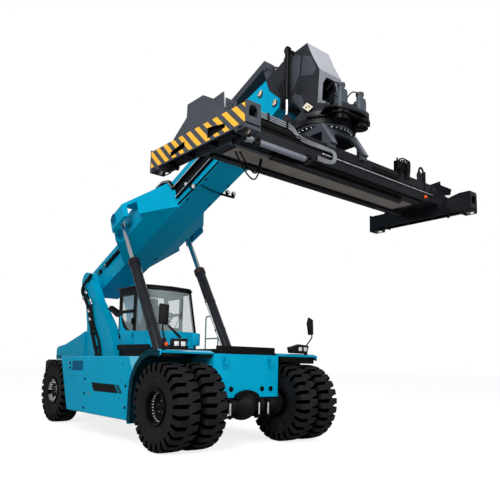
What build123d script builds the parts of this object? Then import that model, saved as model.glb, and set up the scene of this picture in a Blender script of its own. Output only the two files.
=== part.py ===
from build123d import *
import os
from math import atan2, cos, degrees, hypot, radians, sin

# Reach stacker for loaded containers, in millimetres.
# Machine frame while building: X to the machine's left, Y to its rear, Z up,
# zero midway between the front wheels, one AXLE_Z below the axles. Every shape
# is moved at export so that the tyres stand on the ground and the origin lies
# under the middle of the whole machine.

# --- running fits and gaps -------------------------------------------------
FIT = 0.05               # radial clearance of a pin in its bore
SEAT = 0.3               # gap between a round part and the part it sits in
SLIDE = 2.0              # gap round a sliding beam
SWING = 6.0              # gap beside a part that swings

# --- running gear ----------------------------------------------------------
WHEELBASE = 6000
AXLE_Z = 820             # height of both axles in this drawing
TYRE_R = 820
TYRE_W = 500
TYRE_SHOULDER = 70
RIM_R = 317
RIM_T = 27
OUTER_DUAL_X = 1800
INNER_DUAL_X = 1193
REAR_WHEEL_X = 1388
KINGPIN_X = 1050
KINGPIN_R = 40
SPINDLE_R = 75
DRIVE_ARM_R = 195
DIFF_R = 330

# --- frame -----------------------------------------------------------------
BEAM_IN = 280            # inner face of a frame beam
BEAM_OUT = 500
BEAM_Z0 = 700
BEAM_Z1 = 1660
DECK_Z = 1740
FRAME_FRONT = -120
FRAME_REAR = WHEELBASE + 1050
PLATE_T = 50
FRONT_HALF = 855
FRONT_Z0 = 976
FRONT_Z1 = 1820
SIDE_X = 2000            # outer face of the side tanks
TANK_IN = 1160
TANK_REAR_LOW = 4050
TANK_REAR_TOP = 4550
TANK_Z0 = 480
TOW_BORE_R = 25
FENDER_X = 2065
FENDER_T = 30
FENDER_TOP = AXLE_Z + TYRE_R + 230
FENDER_BACK = TYRE_R + 140
TANK_FRONT = FENDER_BACK + 160
TAIL_Y = FRAME_REAR + 950

# --- towers and boom pivot -------------------------------------------------
TOWER_IN = 500
TOWER_OUT = 750
PIVOT_Y = 6200
PIVOT_Z = 3860
PIVOT_R = 95
TOWER_HEAD_R = 290

# --- boom ------------------------------------------------------------------
BOOM_ANGLE = 22.6        # as it stands
BOOM_HALF = 364
BOOM_LOW = -265          # underside, below the pivot
BOOM_DEPTH = 780
BOOM_TAIL = -330         # distances along the boom count from the pivot
BOOM_FRONT = 6280
BOOM_WALL = 30
INNER_GAP = 38           # pads between the two boom sections
INNER_WALL = 25
INNER_TAIL = 1100
INNER_FRONT = 7900
WING_OUT = 1185
WING_SLOT_HALF = 150
WING_SLOT_FRONT = 780    # room for the barrel when the boom is down
WING_SLOT_TOP = 450      # room for the rod eye above the barrel
ROD_PIN_S = 2793
ROD_PIN_H = 257

# --- lift cylinders --------------------------------------------------------
LIFT_X = 960
LIFT_FOOT_Y = 1330
LIFT_FOOT_Z = 1300
LIFT_BARREL_R = 125
LIFT_BORE_WALL = 22
LIFT_ROD_R = 66
LIFT_BARREL_LEN = 3240
LIFT_FOOT_R = 165
LIFT_CLOSED = 3500       # pin to pin with the boom down
LIFT_FOOT_PIN_R = 70
LIFT_EYE_R = 145

# --- boom nose and slewing gear --------------------------------------------
NOSE_HALF = 312
NOSE_PIN_S = 8674
NOSE_PIN_H = -1020
NOSE_PIN_R = 80
NOSE_BOLTS = ((7712, 236), (7984, -256))
NOSE_BOLT_R = 62
CHEEK_T = 60
SLEW_RING_R = 580
SLEW_RING_Z = 5830
SLEW_RING_T = 110
HOUSING_T = 150
MOTOR_X = 255
MOTOR_OFFSET = 706
MOTOR_R = 112
DAMPER_X = 460
DAMPER_TOP_Z = 7540
DAMPER_BACK = 480        # behind the slewing axis
DAMPER_LOW_Z = 6190
DAMPER_BARREL_R = 52
DAMPER_ROD_R = 30

# --- spreader --------------------------------------------------------------
SIDE_SHIFT = 200         # as it stands
TWIST_X = 2926.5         # twistlocks of a twenty foot container
TWIST_Y = 1129.5
TWIST_TIP_Z = 4720
END_Z0 = 4800
END_Z1 = 5110
END_HALF_X = 130
END_HALF_Y = 1235
MAIN_HALF_X = 2560
MAIN_Z0 = 5010
MAIN_Z1 = 5380
TUBE_HALF_Y = 560        # front to back size of the two tubes together
TUBE_WEB = 30
TUBE_WALL = 20
FRAME_TOP_HALF_Y = 400
FRAME_LOW_HALF_Y = 660
FRAME_HALF_X = 500

# --- cab -------------------------------------------------------------------
CAB_HALF = 690
CAB_REAR = 4200
CAB_FRONT = 2690         # at the corner posts
CAB_BOW = 140            # how far the windscreen bows forward
CAB_LEAN = 270           # how far the windscreen leans back
CAB_FLOOR = 1980
CAB_SILL = 2380
CAB_ROOF = 3420
CAB_ROOF_T = 60
CAB_WALL = 40
POST = 60
GLASS_T = 10
DOOR_FRONT = 3380
DOOR_REAR = 4130
DOOR_GAP = 5
HINGE_X = 704
HINGE_Y = 4115
HINGE_LOW_Z = 2200
HINGE_TOP_Z = 3150
HINGE_H = 90
HINGE_R = 9
HINGE_PIN_R = 5
RAIL_X = 560
RAIL_W = 120

SIDES = ((-1, "right"), (1, "left"))

# --- worked out from the sizes above ---------------------------------------
BOOM_TOP = BOOM_LOW + BOOM_DEPTH
SPREADER_X = SIDE_SHIFT
COS_B = cos(radians(BOOM_ANGLE))
SIN_B = sin(radians(BOOM_ANGLE))
BOOM = Pos(0, PIVOT_Y, PIVOT_Z) * Rot(-BOOM_ANGLE, 0, 0)


def on_boom(s, h):
    """Machine Y and Z of a point s along the boom and h above its pivot."""
    return (PIVOT_Y - s * COS_B + h * SIN_B, PIVOT_Z + s * SIN_B + h * COS_B)


ROD_PIN_Y, ROD_PIN_Z = on_boom(ROD_PIN_S, ROD_PIN_H)
NOSE_PIN_Y, NOSE_PIN_Z = on_boom(NOSE_PIN_S, NOSE_PIN_H)
SLEW_Y = NOSE_PIN_Y
LIFT_LEAN = atan2(ROD_PIN_Y - LIFT_FOOT_Y, ROD_PIN_Z - LIFT_FOOT_Z)
LIFT_LEN = hypot(ROD_PIN_Y - LIFT_FOOT_Y, ROD_PIN_Z - LIFT_FOOT_Z)
ORIGIN_X = SPREADER_X
ORIGIN_Y = (TAIL_Y + SLEW_Y - END_HALF_Y) / 2


# --- small builders ----------------------------------------------------------
def block(x0, x1, y0, y1, z0, z1):
    """A box between opposite faces."""
    size = Box(x1 - x0, y1 - y0, z1 - z0)
    return Pos((x0 + x1) / 2, (y0 + y1) / 2, (z0 + z1) / 2) * size


def pair(x0, x1, y0, y1, z0, z1):
    """The same box on both sides of the middle."""
    return block(x0, x1, y0, y1, z0, z1) + block(-x1, -x0, y0, y1, z0, z1)


def slab_x(points, x0, x1):
    """A plate across the machine, from its outline in Y and Z."""
    face = make_face(Polyline(*points, close=True))
    return Pos(x0, 0, 0) * extrude(Plane.YZ * face, x1 - x0)


def slab_y(points, y0, y1):
    """A plate along the machine, from its outline in X and Z."""
    face = make_face(Polyline(*points, close=True))
    return Pos(0, y1, 0) * extrude(Plane.XZ * face, y1 - y0)


def slab_z(points, z0, z1):
    """A level plate from its outline in X and Y."""
    face = make_face(Polyline(*points, close=True))
    return Pos(0, 0, z0) * extrude(face, z1 - z0)


def bar_x(r, x0, x1, y, z):
    return Pos((x0 + x1) / 2, y, z) * Rot(0, 90, 0) * Cylinder(r, abs(x1 - x0))


def bar_y(r, y0, y1, x, z):
    return Pos(x, (y0 + y1) / 2, z) * Rot(90, 0, 0) * Cylinder(r, y1 - y0)


def bar_z(r, z0, z1, x, y):
    return Pos(x, y, (z0 + z1) / 2) * Cylinder(r, z1 - z0)


def flip(shape):
    """The mirror image on the other side of the machine."""
    return mirror(shape, Plane.YZ)


def turned(profile, x, y, z):
    """A wheel shape, from its outline of distance along X and radius."""
    face = make_face(profile)
    return Pos(x, y, z) * revolve(face, Axis.X)


def boom_slab(points, x0, x1):
    """A plate in the boom's own frame, outline in s and h."""
    return slab_x([(-s, h) for s, h in points], x0, x1)


def boom_box(x0, x1, s0, s1, h0, h1):
    return block(x0, x1, -s1, -s0, h0, h1)


# --- running gear ------------------------------------------------------------
def tyre(centre):
    """One tyre, square shouldered, with its bead against the rim."""
    x0, x1 = centre - TYRE_W / 2, centre + TYRE_W / 2
    bead = RIM_R + SEAT
    knee = bead + 150
    points = [(x0 + 60, bead), (x0, knee), (x0, TYRE_R - TYRE_SHOULDER - 60),
              (x0 + TYRE_SHOULDER, TYRE_R), (x1 - TYRE_SHOULDER, TYRE_R),
              (x1, TYRE_R - TYRE_SHOULDER - 60), (x1, knee), (x1 - 60, bead)]
    return Polyline(*points, close=True)


def front_tyres(side):
    outer = turned(tyre(side * OUTER_DUAL_X), 0, 0, AXLE_Z)
    inner = turned(tyre(side * INNER_DUAL_X), 0, 0, AXLE_Z)
    return outer + inner


def rim(x_in, x_disc, x_out, hub_r, hub_in, hub_out):
    """Rim tube, disc and hub as one wheel centre, built on the left."""
    tube = Cylinder(RIM_R, x_out - x_in) - Cylinder(RIM_R - RIM_T, x_out - x_in)
    wheel = Pos((x_in + x_out) / 2, 0, 0) * Rot(0, 90, 0) * tube
    wheel += bar_x(RIM_R - 1, x_disc, x_disc + 45, 0, 0)
    wheel += bar_x(hub_r, hub_in, hub_out, 0, 0)
    return wheel


def front_rim():
    """Double rim of the drive wheels with the hub reduction in its middle."""
    x_in = INNER_DUAL_X - TYRE_W / 2 + 20
    x_out = OUTER_DUAL_X + TYRE_W / 2 - 30
    wheel = rim(x_in, OUTER_DUAL_X - 60, x_out, 190, 1110, OUTER_DUAL_X + 130)
    bore = bar_x(DRIVE_ARM_R / 2 + FIT, 1100, 1260 + SLIDE, 0, 0)
    return Pos(0, 0, AXLE_Z) * (wheel - bore)


def rear_rim():
    x_in = REAR_WHEEL_X - TYRE_W / 2 + 20
    x_out = REAR_WHEEL_X + TYRE_W / 2 - 30
    wheel = rim(x_in, REAR_WHEEL_X + 20, x_out, 150, REAR_WHEEL_X - 120,
                REAR_WHEEL_X + 150)
    bore = bar_x(SPINDLE_R + FIT, REAR_WHEEL_X - 130, REAR_WHEEL_X + 10, 0, 0)
    return Pos(0, WHEELBASE, AXLE_Z) * (wheel - bore)


def drive_axle():
    """Driven front axle: banjo, arms, hub stubs and its seats on the frame."""
    axle = Pos(0, 0, AXLE_Z) * Sphere(DIFF_R)
    axle = axle & block(-DIFF_R, DIFF_R, -DIFF_R, 250, 300, 1400)
    axle += bar_x(DRIVE_ARM_R, -930, 930, 0, AXLE_Z)
    axle += bar_x(DRIVE_ARM_R + 60, -930, -880, 0, AXLE_Z)
    axle += bar_x(DRIVE_ARM_R + 60, 880, 930, 0, AXLE_Z)
    axle += bar_x(DRIVE_ARM_R / 2, -1260, 1260, 0, AXLE_Z)
    seats = pair(600, 780, -110, 150, AXLE_Z, 1290)
    return axle + seats


def steer_axle():
    """Steering axle beam with a fork for each knuckle."""
    y, z = WHEELBASE, AXLE_Z
    axle = block(-900, 900, y - 150, y + 150, z - 160, z + 160)
    axle += block(-260, 260, y - 170, y + 170, z + 160, BEAM_Z1 - 40)
    for low, high in ((150, 215), (-215, -150)):
        axle += pair(880, 1140, y - 110, y + 110, z + low, z + high)
    axle += pair(700, 900, y - 130, y + 130, z - 215, z + 215)
    for x in (-KINGPIN_X, KINGPIN_X):
        axle -= bar_z(KINGPIN_R + FIT, z - 260, z + 260, x, y)
    return axle


def knuckle():
    """Steering knuckle with kingpin, steering arm and wheel spindle."""
    y, z = WHEELBASE, AXLE_Z
    part = block(KINGPIN_X - 80, KINGPIN_X + 70, y - 85, y + 85, z - 149.5, z + 149.5)
    part += bar_z(KINGPIN_R, z - 230, z + 230, KINGPIN_X, y)
    part += bar_x(SPINDLE_R, KINGPIN_X, REAR_WHEEL_X, y, z)
    return part


# --- frame -------------------------------------------------------------------
def tower():
    """Left tower plate box that carries the boom pin."""
    points = [(4260, DECK_Z), (4330, 2060), (4640, 2570), (5420, 3290), (5950, 3960),
              (6430, 3990), (6480, 3700), (6130, 3180), (5980, 2600), (5980, DECK_Z)]
    part = slab_x(points, TOWER_IN, TOWER_OUT)
    part += bar_x(TOWER_HEAD_R, TOWER_IN, TOWER_OUT, PIVOT_Y, PIVOT_Z)
    part += bar_x(PIVOT_R + 60, TOWER_OUT, TOWER_OUT + 35, PIVOT_Y, PIVOT_Z)
    return part


def lift_foot():
    """Left fork on the frame for the foot of a lift cylinder."""
    y, z = LIFT_FOOT_Y, LIFT_FOOT_Z
    part = block(BEAM_OUT, LIFT_X + 190, y + 180, y + 560, 900, z - 20)
    for x in (LIFT_X - 190, LIFT_X + 140):
        part += block(x, x + 50, y - 60, y + 200, z - 210, z + 150)
        part += bar_x(180, x, x + 50, y, z)
    return part - bar_x(LIFT_FOOT_PIN_R + FIT, LIFT_X - 250, LIFT_X + 250, y, z)


def chassis_frame():
    """Main beams, cross members, front floor, outriggers and towers."""
    part = pair(BEAM_IN, BEAM_OUT, FRAME_FRONT, FRAME_REAR, BEAM_Z0, BEAM_Z1)
    part -= block(-BEAM_OUT, BEAM_OUT, -340, 260, 400, 1290)
    part -= pair(BEAM_IN, BEAM_OUT, WHEELBASE - 160, WHEELBASE + 160, 500, 990)
    for y0, y1 in ((300, 420), (1560, 1860), (3500, 3700), (5100, 5240),
                   (FRAME_REAR - 150, FRAME_REAR)):
        part += block(-BEAM_IN, BEAM_IN, y0, y1, 820, 1600)
    part += block(-BEAM_IN, BEAM_IN, WHEELBASE - 200, WHEELBASE + 200, BEAM_Z1 - 40, BEAM_Z1)
    part += block(-BEAM_OUT, BEAM_OUT, -60, 60, 1290, BEAM_Z1)
    part += pair(BEAM_OUT, 800, FRAME_FRONT, 1000, 1290, 1330)
    part += pair(800, FRONT_HALF, FRAME_FRONT, 1000, 1040, DECK_Z)
    part += block(-FRONT_HALF, FRONT_HALF, FRAME_FRONT, 1100, BEAM_Z1, DECK_Z)
    part += block(-TOWER_OUT, TOWER_OUT, 4260, FRAME_REAR - 70, BEAM_Z1, DECK_Z)
    for y in (2250, 3500):
        part += pair(BEAM_OUT, TANK_IN, y, y + 200, 900, 1500)
    foot = lift_foot()
    mast = tower()
    part += foot + flip(foot) + mast + flip(mast)
    return part - bar_x(PIVOT_R + FIT, -900, 900, PIVOT_Y, PIVOT_Z)


def front_plate():
    """Front cross plate, cut round the axle, with two lifting lugs."""
    y0 = FRAME_FRONT - PLATE_T
    part = block(-FRONT_HALF, FRONT_HALF, y0, FRAME_FRONT, FRONT_Z0, FRONT_Z1)
    part -= bar_y(350, y0 - 1, FRAME_FRONT + 1, 0, FRONT_Z0)
    for x in (-650, -408, 408, 650):
        part -= bar_y(45, y0 - 1, FRAME_FRONT + 1, x, 1125)
    for x in (-595, 595):
        lug = block(x - 22, x + 22, y0 - 90, y0, 1600, 1770)
        part += lug - bar_x(28, x - 30, x + 30, y0 - 50, 1690)
    return part


def front_fender():
    """Left mudguard: a bent sheet over and behind the double wheel."""
    top, back = FENDER_TOP, FENDER_BACK
    line = [(-170, top - 35), (-60, top), (230, top), (520, top - 100),
            (back - 200, top - 310),
            (back - 40, top - 570), (back, 1000), (back, 440)]
    t = FENDER_T
    inside = [(back - t, 440), (back - t, 1000), (back - 40 - t, top - 582),
              (back - 222, top - 330),
              (505, top - 127), (223, top - t), (-55, top - t), (-160, top - 65)]
    sheet = slab_x(line + inside, FRONT_HALF, FENDER_X)
    rim_line = line[::-1] + [(-170, top - 105), (-60, top - 70), (215, top - 70),
                             (480, top - 165), (back - 260, top - 355),
                             (back - 110, top - 585), (back - 70, 1000), (back - 70, 440)]
    lip = slab_x(rim_line, FENDER_X - 30, FENDER_X)
    return sheet + lip


def side_tank():
    """Left side tank with the sloping rear end, and its brackets."""
    points = [(TANK_FRONT, TANK_Z0), (TANK_REAR_LOW, TANK_Z0),
              (TANK_REAR_TOP, 1738), (TANK_FRONT, 1738)]
    part = slab_x(points, TANK_IN, SIDE_X)
    edges = part.edges().filter_by(Axis.Y).group_by(Axis.X)[-1]
    return fillet(edges, 25)


def counterweight():
    """Cast weight behind the rear wheels, cut away at its corners."""
    plan = [(-1320, FRAME_REAR), (1320, FRAME_REAR), (1320, TAIL_Y - 580),
            (1060, TAIL_Y - 200), (700, TAIL_Y), (-700, TAIL_Y), (-1060, TAIL_Y - 200),
            (-1320, TAIL_Y - 580)]
    part = slab_z(plan, 560, 1650)
    part = chamfer(part.edges().group_by(Axis.Z)[-1], 60)
    part -= block(-160, 160, TAIL_Y - 260, TAIL_Y + 1, 640, 900)
    return part - bar_z(TOW_BORE_R, 550, 960, 0, TAIL_Y - 130)


def engine_hood():
    """Sheet cover between and behind the towers, open underneath."""
    t = 25
    narrow = [(4370, DECK_Z), (4370, 2420), (5990, 2500), (5990, DECK_Z)]
    rear = TAIL_Y - 15
    wide = [(6000, DECK_Z), (6000, 2450), (6330, 2350), (rear - 645, 2105),
            (rear - 85, 2040), (rear, 1960), (rear, 1660), (FRAME_REAR + 10, 1660),
            (FRAME_REAR - 65, DECK_Z)]
    half_n, half_w = TOWER_IN - 15, 800
    part = slab_x(narrow, -half_n, half_n) + slab_x(wide, -half_w, half_w)
    part += block(-half_n, half_n, 5980, 6010, DECK_Z, 2450)
    inner = [(4370 + t, 1600), (4370 + t, 2420 - t), (6010, 2500 - t - 5), (6010, 1600)]
    inner_w = [(6000 + t, 1600), (6000 + t, 2450 - t - 20), (6330, 2350 - t - 5),
               (rear - 645, 2105 - t), (rear - 95, 2040 - t - 5), (rear - 25, 1950),
               (rear - 25, 1600)]
    part -= slab_x(inner, -half_n + t, half_n - t)
    part -= slab_x(inner_w, -half_w + t, half_w - t)
    return part - block(-430, 430, 5900, 6100, 1600, 2400)


def engine_block():
    return block(-400, 400, 4600, 6080, DECK_Z, 2330)


def valve_block():
    """Lift valves on a plate in front of the right tower."""
    x0, x1 = -TOWER_IN + SWING, -250
    part = block(x0, x1, 4275, 4290, DECK_Z, 2640)
    for z in (2130, 2330, 2520):
        part += block(x0 + 15, x1 - 15, 4290, 4362, z, z + 100)
    return part


def slide_rails():
    """Rails that the cab slides on, joined by cross beams."""
    part = pair(RAIL_X - RAIL_W / 2, RAIL_X + RAIL_W / 2, -110, 4230, DECK_Z, CAB_FLOOR - 60)
    part += pair(RAIL_X - RAIL_W / 2, RAIL_X + RAIL_W / 2, 1100, 4230, BEAM_Z1, DECK_Z)
    for y in (300, 1500, 2700, 3900):
        part += block(-RAIL_X, RAIL_X, y, y + 90, DECK_Z + 40, DECK_Z + 130)
    return part + block(-760, 760, -165, -110, DECK_Z + 80, CAB_FLOOR)


def walkways():
    """Chequer plates between the frame and the side tanks."""
    part = pair(RAIL_X + RAIL_W / 2 + 5, TANK_IN - 5, 2000, 4220, 1708, 1738)
    legs = pair(RAIL_X + RAIL_W / 2 + 5, RAIL_X + RAIL_W / 2 + 45, 2260, 2440, 1500, 1708)
    legs += pair(RAIL_X + RAIL_W / 2 + 5, RAIL_X + RAIL_W / 2 + 45, 3510, 3690, 1500, 1708)
    return part + legs


def handrails():
    """Grab rails at the left steps, of bent tube."""
    post, rail = 20, 16
    part = bar_z(post, 1738, 2850, 1300, 2580) + bar_z(post, 1738, 2740, 1300, 3130)
    part += bar_y(rail, 2580, 3130, 1300, 2120)
    part += bar_y(rail, 2580, 2860, 1300, 2820) + bar_z(post, 2100, 2850, 1300, 2860)
    part += bar_x(rail, 1300, 1950, 3130, 2710) + bar_z(post, 1738, 2740, 1950, 3130)
    return part + ladder()


def ladder():
    """Steps up the left side tank."""
    part = block(SIDE_X, SIDE_X + 120, 2620, 2640, 560, 1560)
    part += block(SIDE_X, SIDE_X + 120, 3060, 3080, 560, 1560)
    for z in (600, 900, 1200, 1500):
        part += block(SIDE_X, SIDE_X + 120, 2630, 3070, z, z + 25)
    return part


def fender_lamp_posts():
    """Brackets and working lamps on both front mudguards."""
    part = None
    for x in (-1960, -1760, -1580, 1240, 1470, 1700):
        z = FENDER_TOP
        lamp = block(x - 60, x + 60, -150, -70, z + 60, z + 180)
        lamp += block(x - 12, x + 12, -80, -34, z + 96, z + 120)
        lamp += block(x - 12, x + 12, -58, -34, z, z + 120)
        part = lamp if part is None else part + lamp
    return part


def mirror_arm(x_foot, x_head, y):
    """One rear view mirror on a bent arm from the mudguard."""
    z = FENDER_TOP + 460
    part = bar_z(14, FENDER_TOP + 14, z, x_foot, y)
    part += block(x_foot - 10, x_foot + 10, y, -30, FENDER_TOP + 14, FENDER_TOP + 34)
    part += block(x_foot - 30, x_foot + 5, -56, -20, FENDER_TOP, FENDER_TOP + 20)
    head = block(x_head - 115, x_head + 115, y - 40, y - 8, z - 30, z + 380)
    part += fillet(head.edges().filter_by(Axis.Y), 30)
    part += block(min(x_foot, x_head) - 10, max(x_foot, x_head) + 10, y - 16, y + 10, z - 20, z + 10)
    return part


# --- cab ---------------------------------------------------------------------
def bow(y_corner, half, depth, reach):
    """Outline of a cab level in X and Y with a bowed front."""
    front = ThreePointArc((-half, y_corner), (0, y_corner - depth), (half, y_corner))
    back = Polyline((half, y_corner), (half, reach), (-half, reach), (-half, y_corner))
    return make_face(front + back)


def leaning(face, z0, z1):
    """A cab level carried up to the roof with the windscreen's lean."""
    lean = CAB_LEAN / (CAB_ROOF - CAB_SILL)
    return Pos(0, 0, z0) * extrude(face, z1 - z0, dir=(0, lean, 1))


def cab_lower():
    """Tub of the cab: floor, low walls, raised rear corners, all hollow."""
    outer = Pos(0, 0, CAB_FLOOR) * extrude(bow(CAB_FRONT, CAB_HALF, CAB_BOW, CAB_REAR), 400)
    inner_face = bow(CAB_FRONT + CAB_WALL, CAB_HALF - CAB_WALL, CAB_BOW, CAB_REAR - CAB_WALL)
    tub = outer - Pos(0, 0, CAB_FLOOR + 40) * extrude(inner_face, 500)
    tub -= pair(CAB_HALF - CAB_WALL - 1, CAB_HALF + 1, DOOR_FRONT, DOOR_REAR, CAB_FLOOR + 60, 2500)
    shoes = pair(RAIL_X - 50, RAIL_X + 50, 2700, 4190, CAB_FLOOR - 60 + SLIDE / 4, CAB_FLOOR)
    hinge = door_hinge(HINGE_LOW_Z)
    return tub + shoes + hinge + flip(hinge)


def cab_frame():
    """Posts, roof rails and rear wall of the cab, above the tub."""
    z0, z1 = CAB_SILL, CAB_ROOF
    part = pair(CAB_HALF - POST, CAB_HALF, DOOR_REAR, CAB_REAR, z0, z1)
    part += pair(CAB_HALF - POST, CAB_HALF, DOOR_FRONT - POST, DOOR_FRONT, z0, z1)
    corner = [(CAB_FRONT, z0), (CAB_FRONT + POST, z0),
              (CAB_FRONT + POST + CAB_LEAN, z1), (CAB_FRONT + CAB_LEAN, z1)]
    post = slab_x(corner, CAB_HALF - POST, CAB_HALF)
    part += post + flip(post)
    part += pair(CAB_HALF - POST, CAB_HALF, CAB_FRONT + CAB_LEAN + 20, CAB_REAR, z1 - POST, z1)
    part += block(-CAB_HALF, CAB_HALF, CAB_REAR - POST, CAB_REAR, z1 - POST, z1)
    part += block(-CAB_HALF, CAB_HALF, CAB_REAR - CAB_WALL, CAB_REAR, z0, 2620)
    hinge = door_hinge(HINGE_TOP_Z)
    return part + hinge + flip(hinge)


def door_hinge(z):
    """Pin and two brackets of one hinge of the left door."""
    part = bar_z(HINGE_PIN_R, z - 25, z + HINGE_H + 25, HINGE_X, HINGE_Y)
    for low in (z - 25, z + HINGE_H + 1):
        part += bar_z(HINGE_R, low, low + 24, HINGE_X, HINGE_Y)
        part += block(HINGE_X - HINGE_R, HINGE_X + HINGE_R, HINGE_Y, 4170, low, low + 24)
        part += block(CAB_HALF - 10, HINGE_X, DOOR_REAR + 4, 4170, low, low + 24)
    return part


def cab_roof():
    """Roof plate with a visor edge over the windscreen."""
    y = CAB_FRONT + CAB_LEAN - 20
    part = Pos(0, 0, CAB_ROOF) * extrude(bow(y, CAB_HALF + 15, CAB_BOW, CAB_REAR + 15), CAB_ROOF_T)
    return chamfer(part.edges().group_by(Axis.Z)[-1], 25)


def windscreen():
    """Bowed and leaning windscreen between the corner posts."""
    half = CAB_HALF - POST - 1
    pane = bow(CAB_FRONT, half, CAB_BOW - 10, CAB_FRONT + 400)
    pane -= bow(CAB_FRONT + GLASS_T, half + 1, CAB_BOW - 10, CAB_FRONT + 402)
    return leaning(pane, CAB_SILL, CAB_ROOF)


def cab_glass():
    """Fixed side panes ahead of the doors, and the rear pane."""
    x0 = CAB_HALF - POST / 2
    lean = CAB_LEAN / (CAB_ROOF - CAB_SILL)
    top = CAB_ROOF - POST
    front_low = CAB_FRONT + POST
    front_top = front_low + (top - CAB_SILL) * lean
    points = [(front_low, CAB_SILL), (DOOR_FRONT - POST, CAB_SILL),
              (DOOR_FRONT - POST, top), (front_top, top)]
    side = slab_x(points, x0, x0 + GLASS_T)
    rear = block(-CAB_HALF + POST, CAB_HALF - POST, CAB_REAR - 30, CAB_REAR - 20, 2620, top)
    return side + flip(side) + rear


def door_outline(grow):
    """Door outline in Y and Z, shrunk by a negative grow."""
    g = grow
    return [(DOOR_FRONT - g, CAB_FLOOR + 65 - g), (DOOR_REAR + g, CAB_FLOOR + 65 - g),
            (DOOR_REAR + g, CAB_ROOF - POST - 5 + g), (DOOR_FRONT - g, CAB_ROOF - POST - 5 + g)]


def cab_door():
    """Left door with its window opening, grab handle and hinges."""
    part = slab_x(door_outline(-DOOR_GAP), CAB_HALF - CAB_WALL, CAB_HALF)
    window = [(DOOR_FRONT + 65, 2390), (3560, 2390), (3760, 2470), (3900, 2600),
              (DOOR_REAR - 65, 2760), (DOOR_REAR - 65, 3290), (DOOR_FRONT + 65, 3290)]
    part -= slab_x(window, CAB_HALF - CAB_WALL - 1, CAB_HALF + 1)
    part += block(CAB_HALF, CAB_HALF + 22, DOOR_FRONT + 30, DOOR_FRONT + 50, 2200, 2330)
    for z in (HINGE_LOW_Z, HINGE_TOP_Z):
        part += bar_z(HINGE_R, z, z + HINGE_H, HINGE_X, HINGE_Y)
        part += block(CAB_HALF - 1, HINGE_X, HINGE_Y - 70, HINGE_Y, z, z + HINGE_H)
        part -= bar_z(HINGE_PIN_R + FIT, z - 1, z + HINGE_H + 1, HINGE_X, HINGE_Y)
    return part


def door_glass():
    points = [(DOOR_FRONT + 65, 2390), (3560, 2390), (3760, 2470), (3900, 2600),
              (DOOR_REAR - 65, 2760), (DOOR_REAR - 65, 3290), (DOOR_FRONT + 65, 3290)]
    return slab_x(points, CAB_HALF - 25, CAB_HALF - 25 + GLASS_T)


def seat():
    """Driver's seat: cushion, back, head rest and pedestal."""
    part = block(-240, 240, 3250, 3740, 2420, 2540)
    part += block(-230, 230, 3660, 3790, 2540, 3080)
    part += block(-140, 140, 3690, 3780, 3080, 3260)
    part += block(-150, 150, 3350, 3650, CAB_FLOOR + 40, 2420)
    part += pair(250, 320, 3300, 3640, 2640, 2700) + pair(230, 320, 3640, 3720, 2600, 2700)
    return part


def console():
    """Steering column, wheel and instrument box."""
    part = block(-90, 90, 2860, 2990, CAB_FLOOR + 40, 2500)
    part += block(-330, 330, 2800, 2880, 2380, 2480)
    column = Pos(0, 2960, 2600) * Rot(-30, 0, 0) * Cylinder(28, 330)
    wheel = Pos(0, 3040, 2745) * Rot(-30, 0, 0) * (Cylinder(200, 26) - Cylinder(176, 28))
    spoke = Pos(0, 3040, 2745) * Rot(-30, 0, 0) * Box(370, 34, 14)
    return part + column + wheel + spoke


# --- boom --------------------------------------------------------------------
def wing():
    """Left flare of the boom that holds the rod eye, with its slot."""
    plan = [(BOOM_HALF - 15, -1560), (WING_OUT, -2600), (WING_OUT, -3250),
            (BOOM_HALF - 15, -4420)]
    front = [(BOOM_HALF - 15, BOOM_LOW + 5), (WING_OUT, 40), (WING_OUT, 400),
             (BOOM_HALF - 15, BOOM_TOP - 10)]
    part = slab_z(plan, -500, 700) & slab_y(front, -4500, -1400)
    part -= slab_x([(-2700, 480), (-2490, 170), (-2400, 170), (-2400, 480)], 900, WING_OUT + 1)
    part += bar_x(140, WING_OUT - 60, WING_OUT + 22, -ROD_PIN_S, ROD_PIN_H)
    part -= boom_box(LIFT_X - WING_SLOT_HALF, LIFT_X + WING_SLOT_HALF,
                     ROD_PIN_S - 450, ROD_PIN_S + WING_SLOT_TOP, -400, 700)
    return part - boom_box(LIFT_X - WING_SLOT_HALF, LIFT_X + WING_SLOT_HALF,
                           ROD_PIN_S, ROD_PIN_S + WING_SLOT_FRONT, -400, ROD_PIN_H + 53)


def outer_boom():
    """Welded box of the fixed boom section, its wings and its rear pin."""
    w = BOOM_WALL
    part = boom_box(-BOOM_HALF, BOOM_HALF, BOOM_TAIL, BOOM_FRONT, BOOM_LOW, BOOM_TOP)
    part += boom_box(-BOOM_HALF - 22, BOOM_HALF + 22, BOOM_FRONT - 160, BOOM_FRONT,
                     BOOM_LOW - 22, BOOM_TOP + 22)
    side = wing()
    part += side + flip(side)
    part -= boom_box(-BOOM_HALF + w, BOOM_HALF - w, 120, BOOM_FRONT + 10,
                     BOOM_LOW + w, BOOM_TOP - w)
    part += bar_x(PIVOT_R + 110, -TOWER_IN + SWING, TOWER_IN - SWING, 0, 0)
    part += bar_x(PIVOT_R, -TOWER_OUT - 30, TOWER_OUT + 30, 0, 0)
    return BOOM * part


def hose_track():
    """Open trough for the hoses along the right side of the boom."""
    x = -BOOM_HALF
    part = boom_box(x - 75, x, 4405, BOOM_FRONT - 165, -40, 275)
    part -= boom_box(x - 76, x - 12, 4405, BOOM_FRONT - 165, -22, 257)
    part += boom_box(x - 45, x, 600, 1540, 205, 300)
    return BOOM * part


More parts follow.
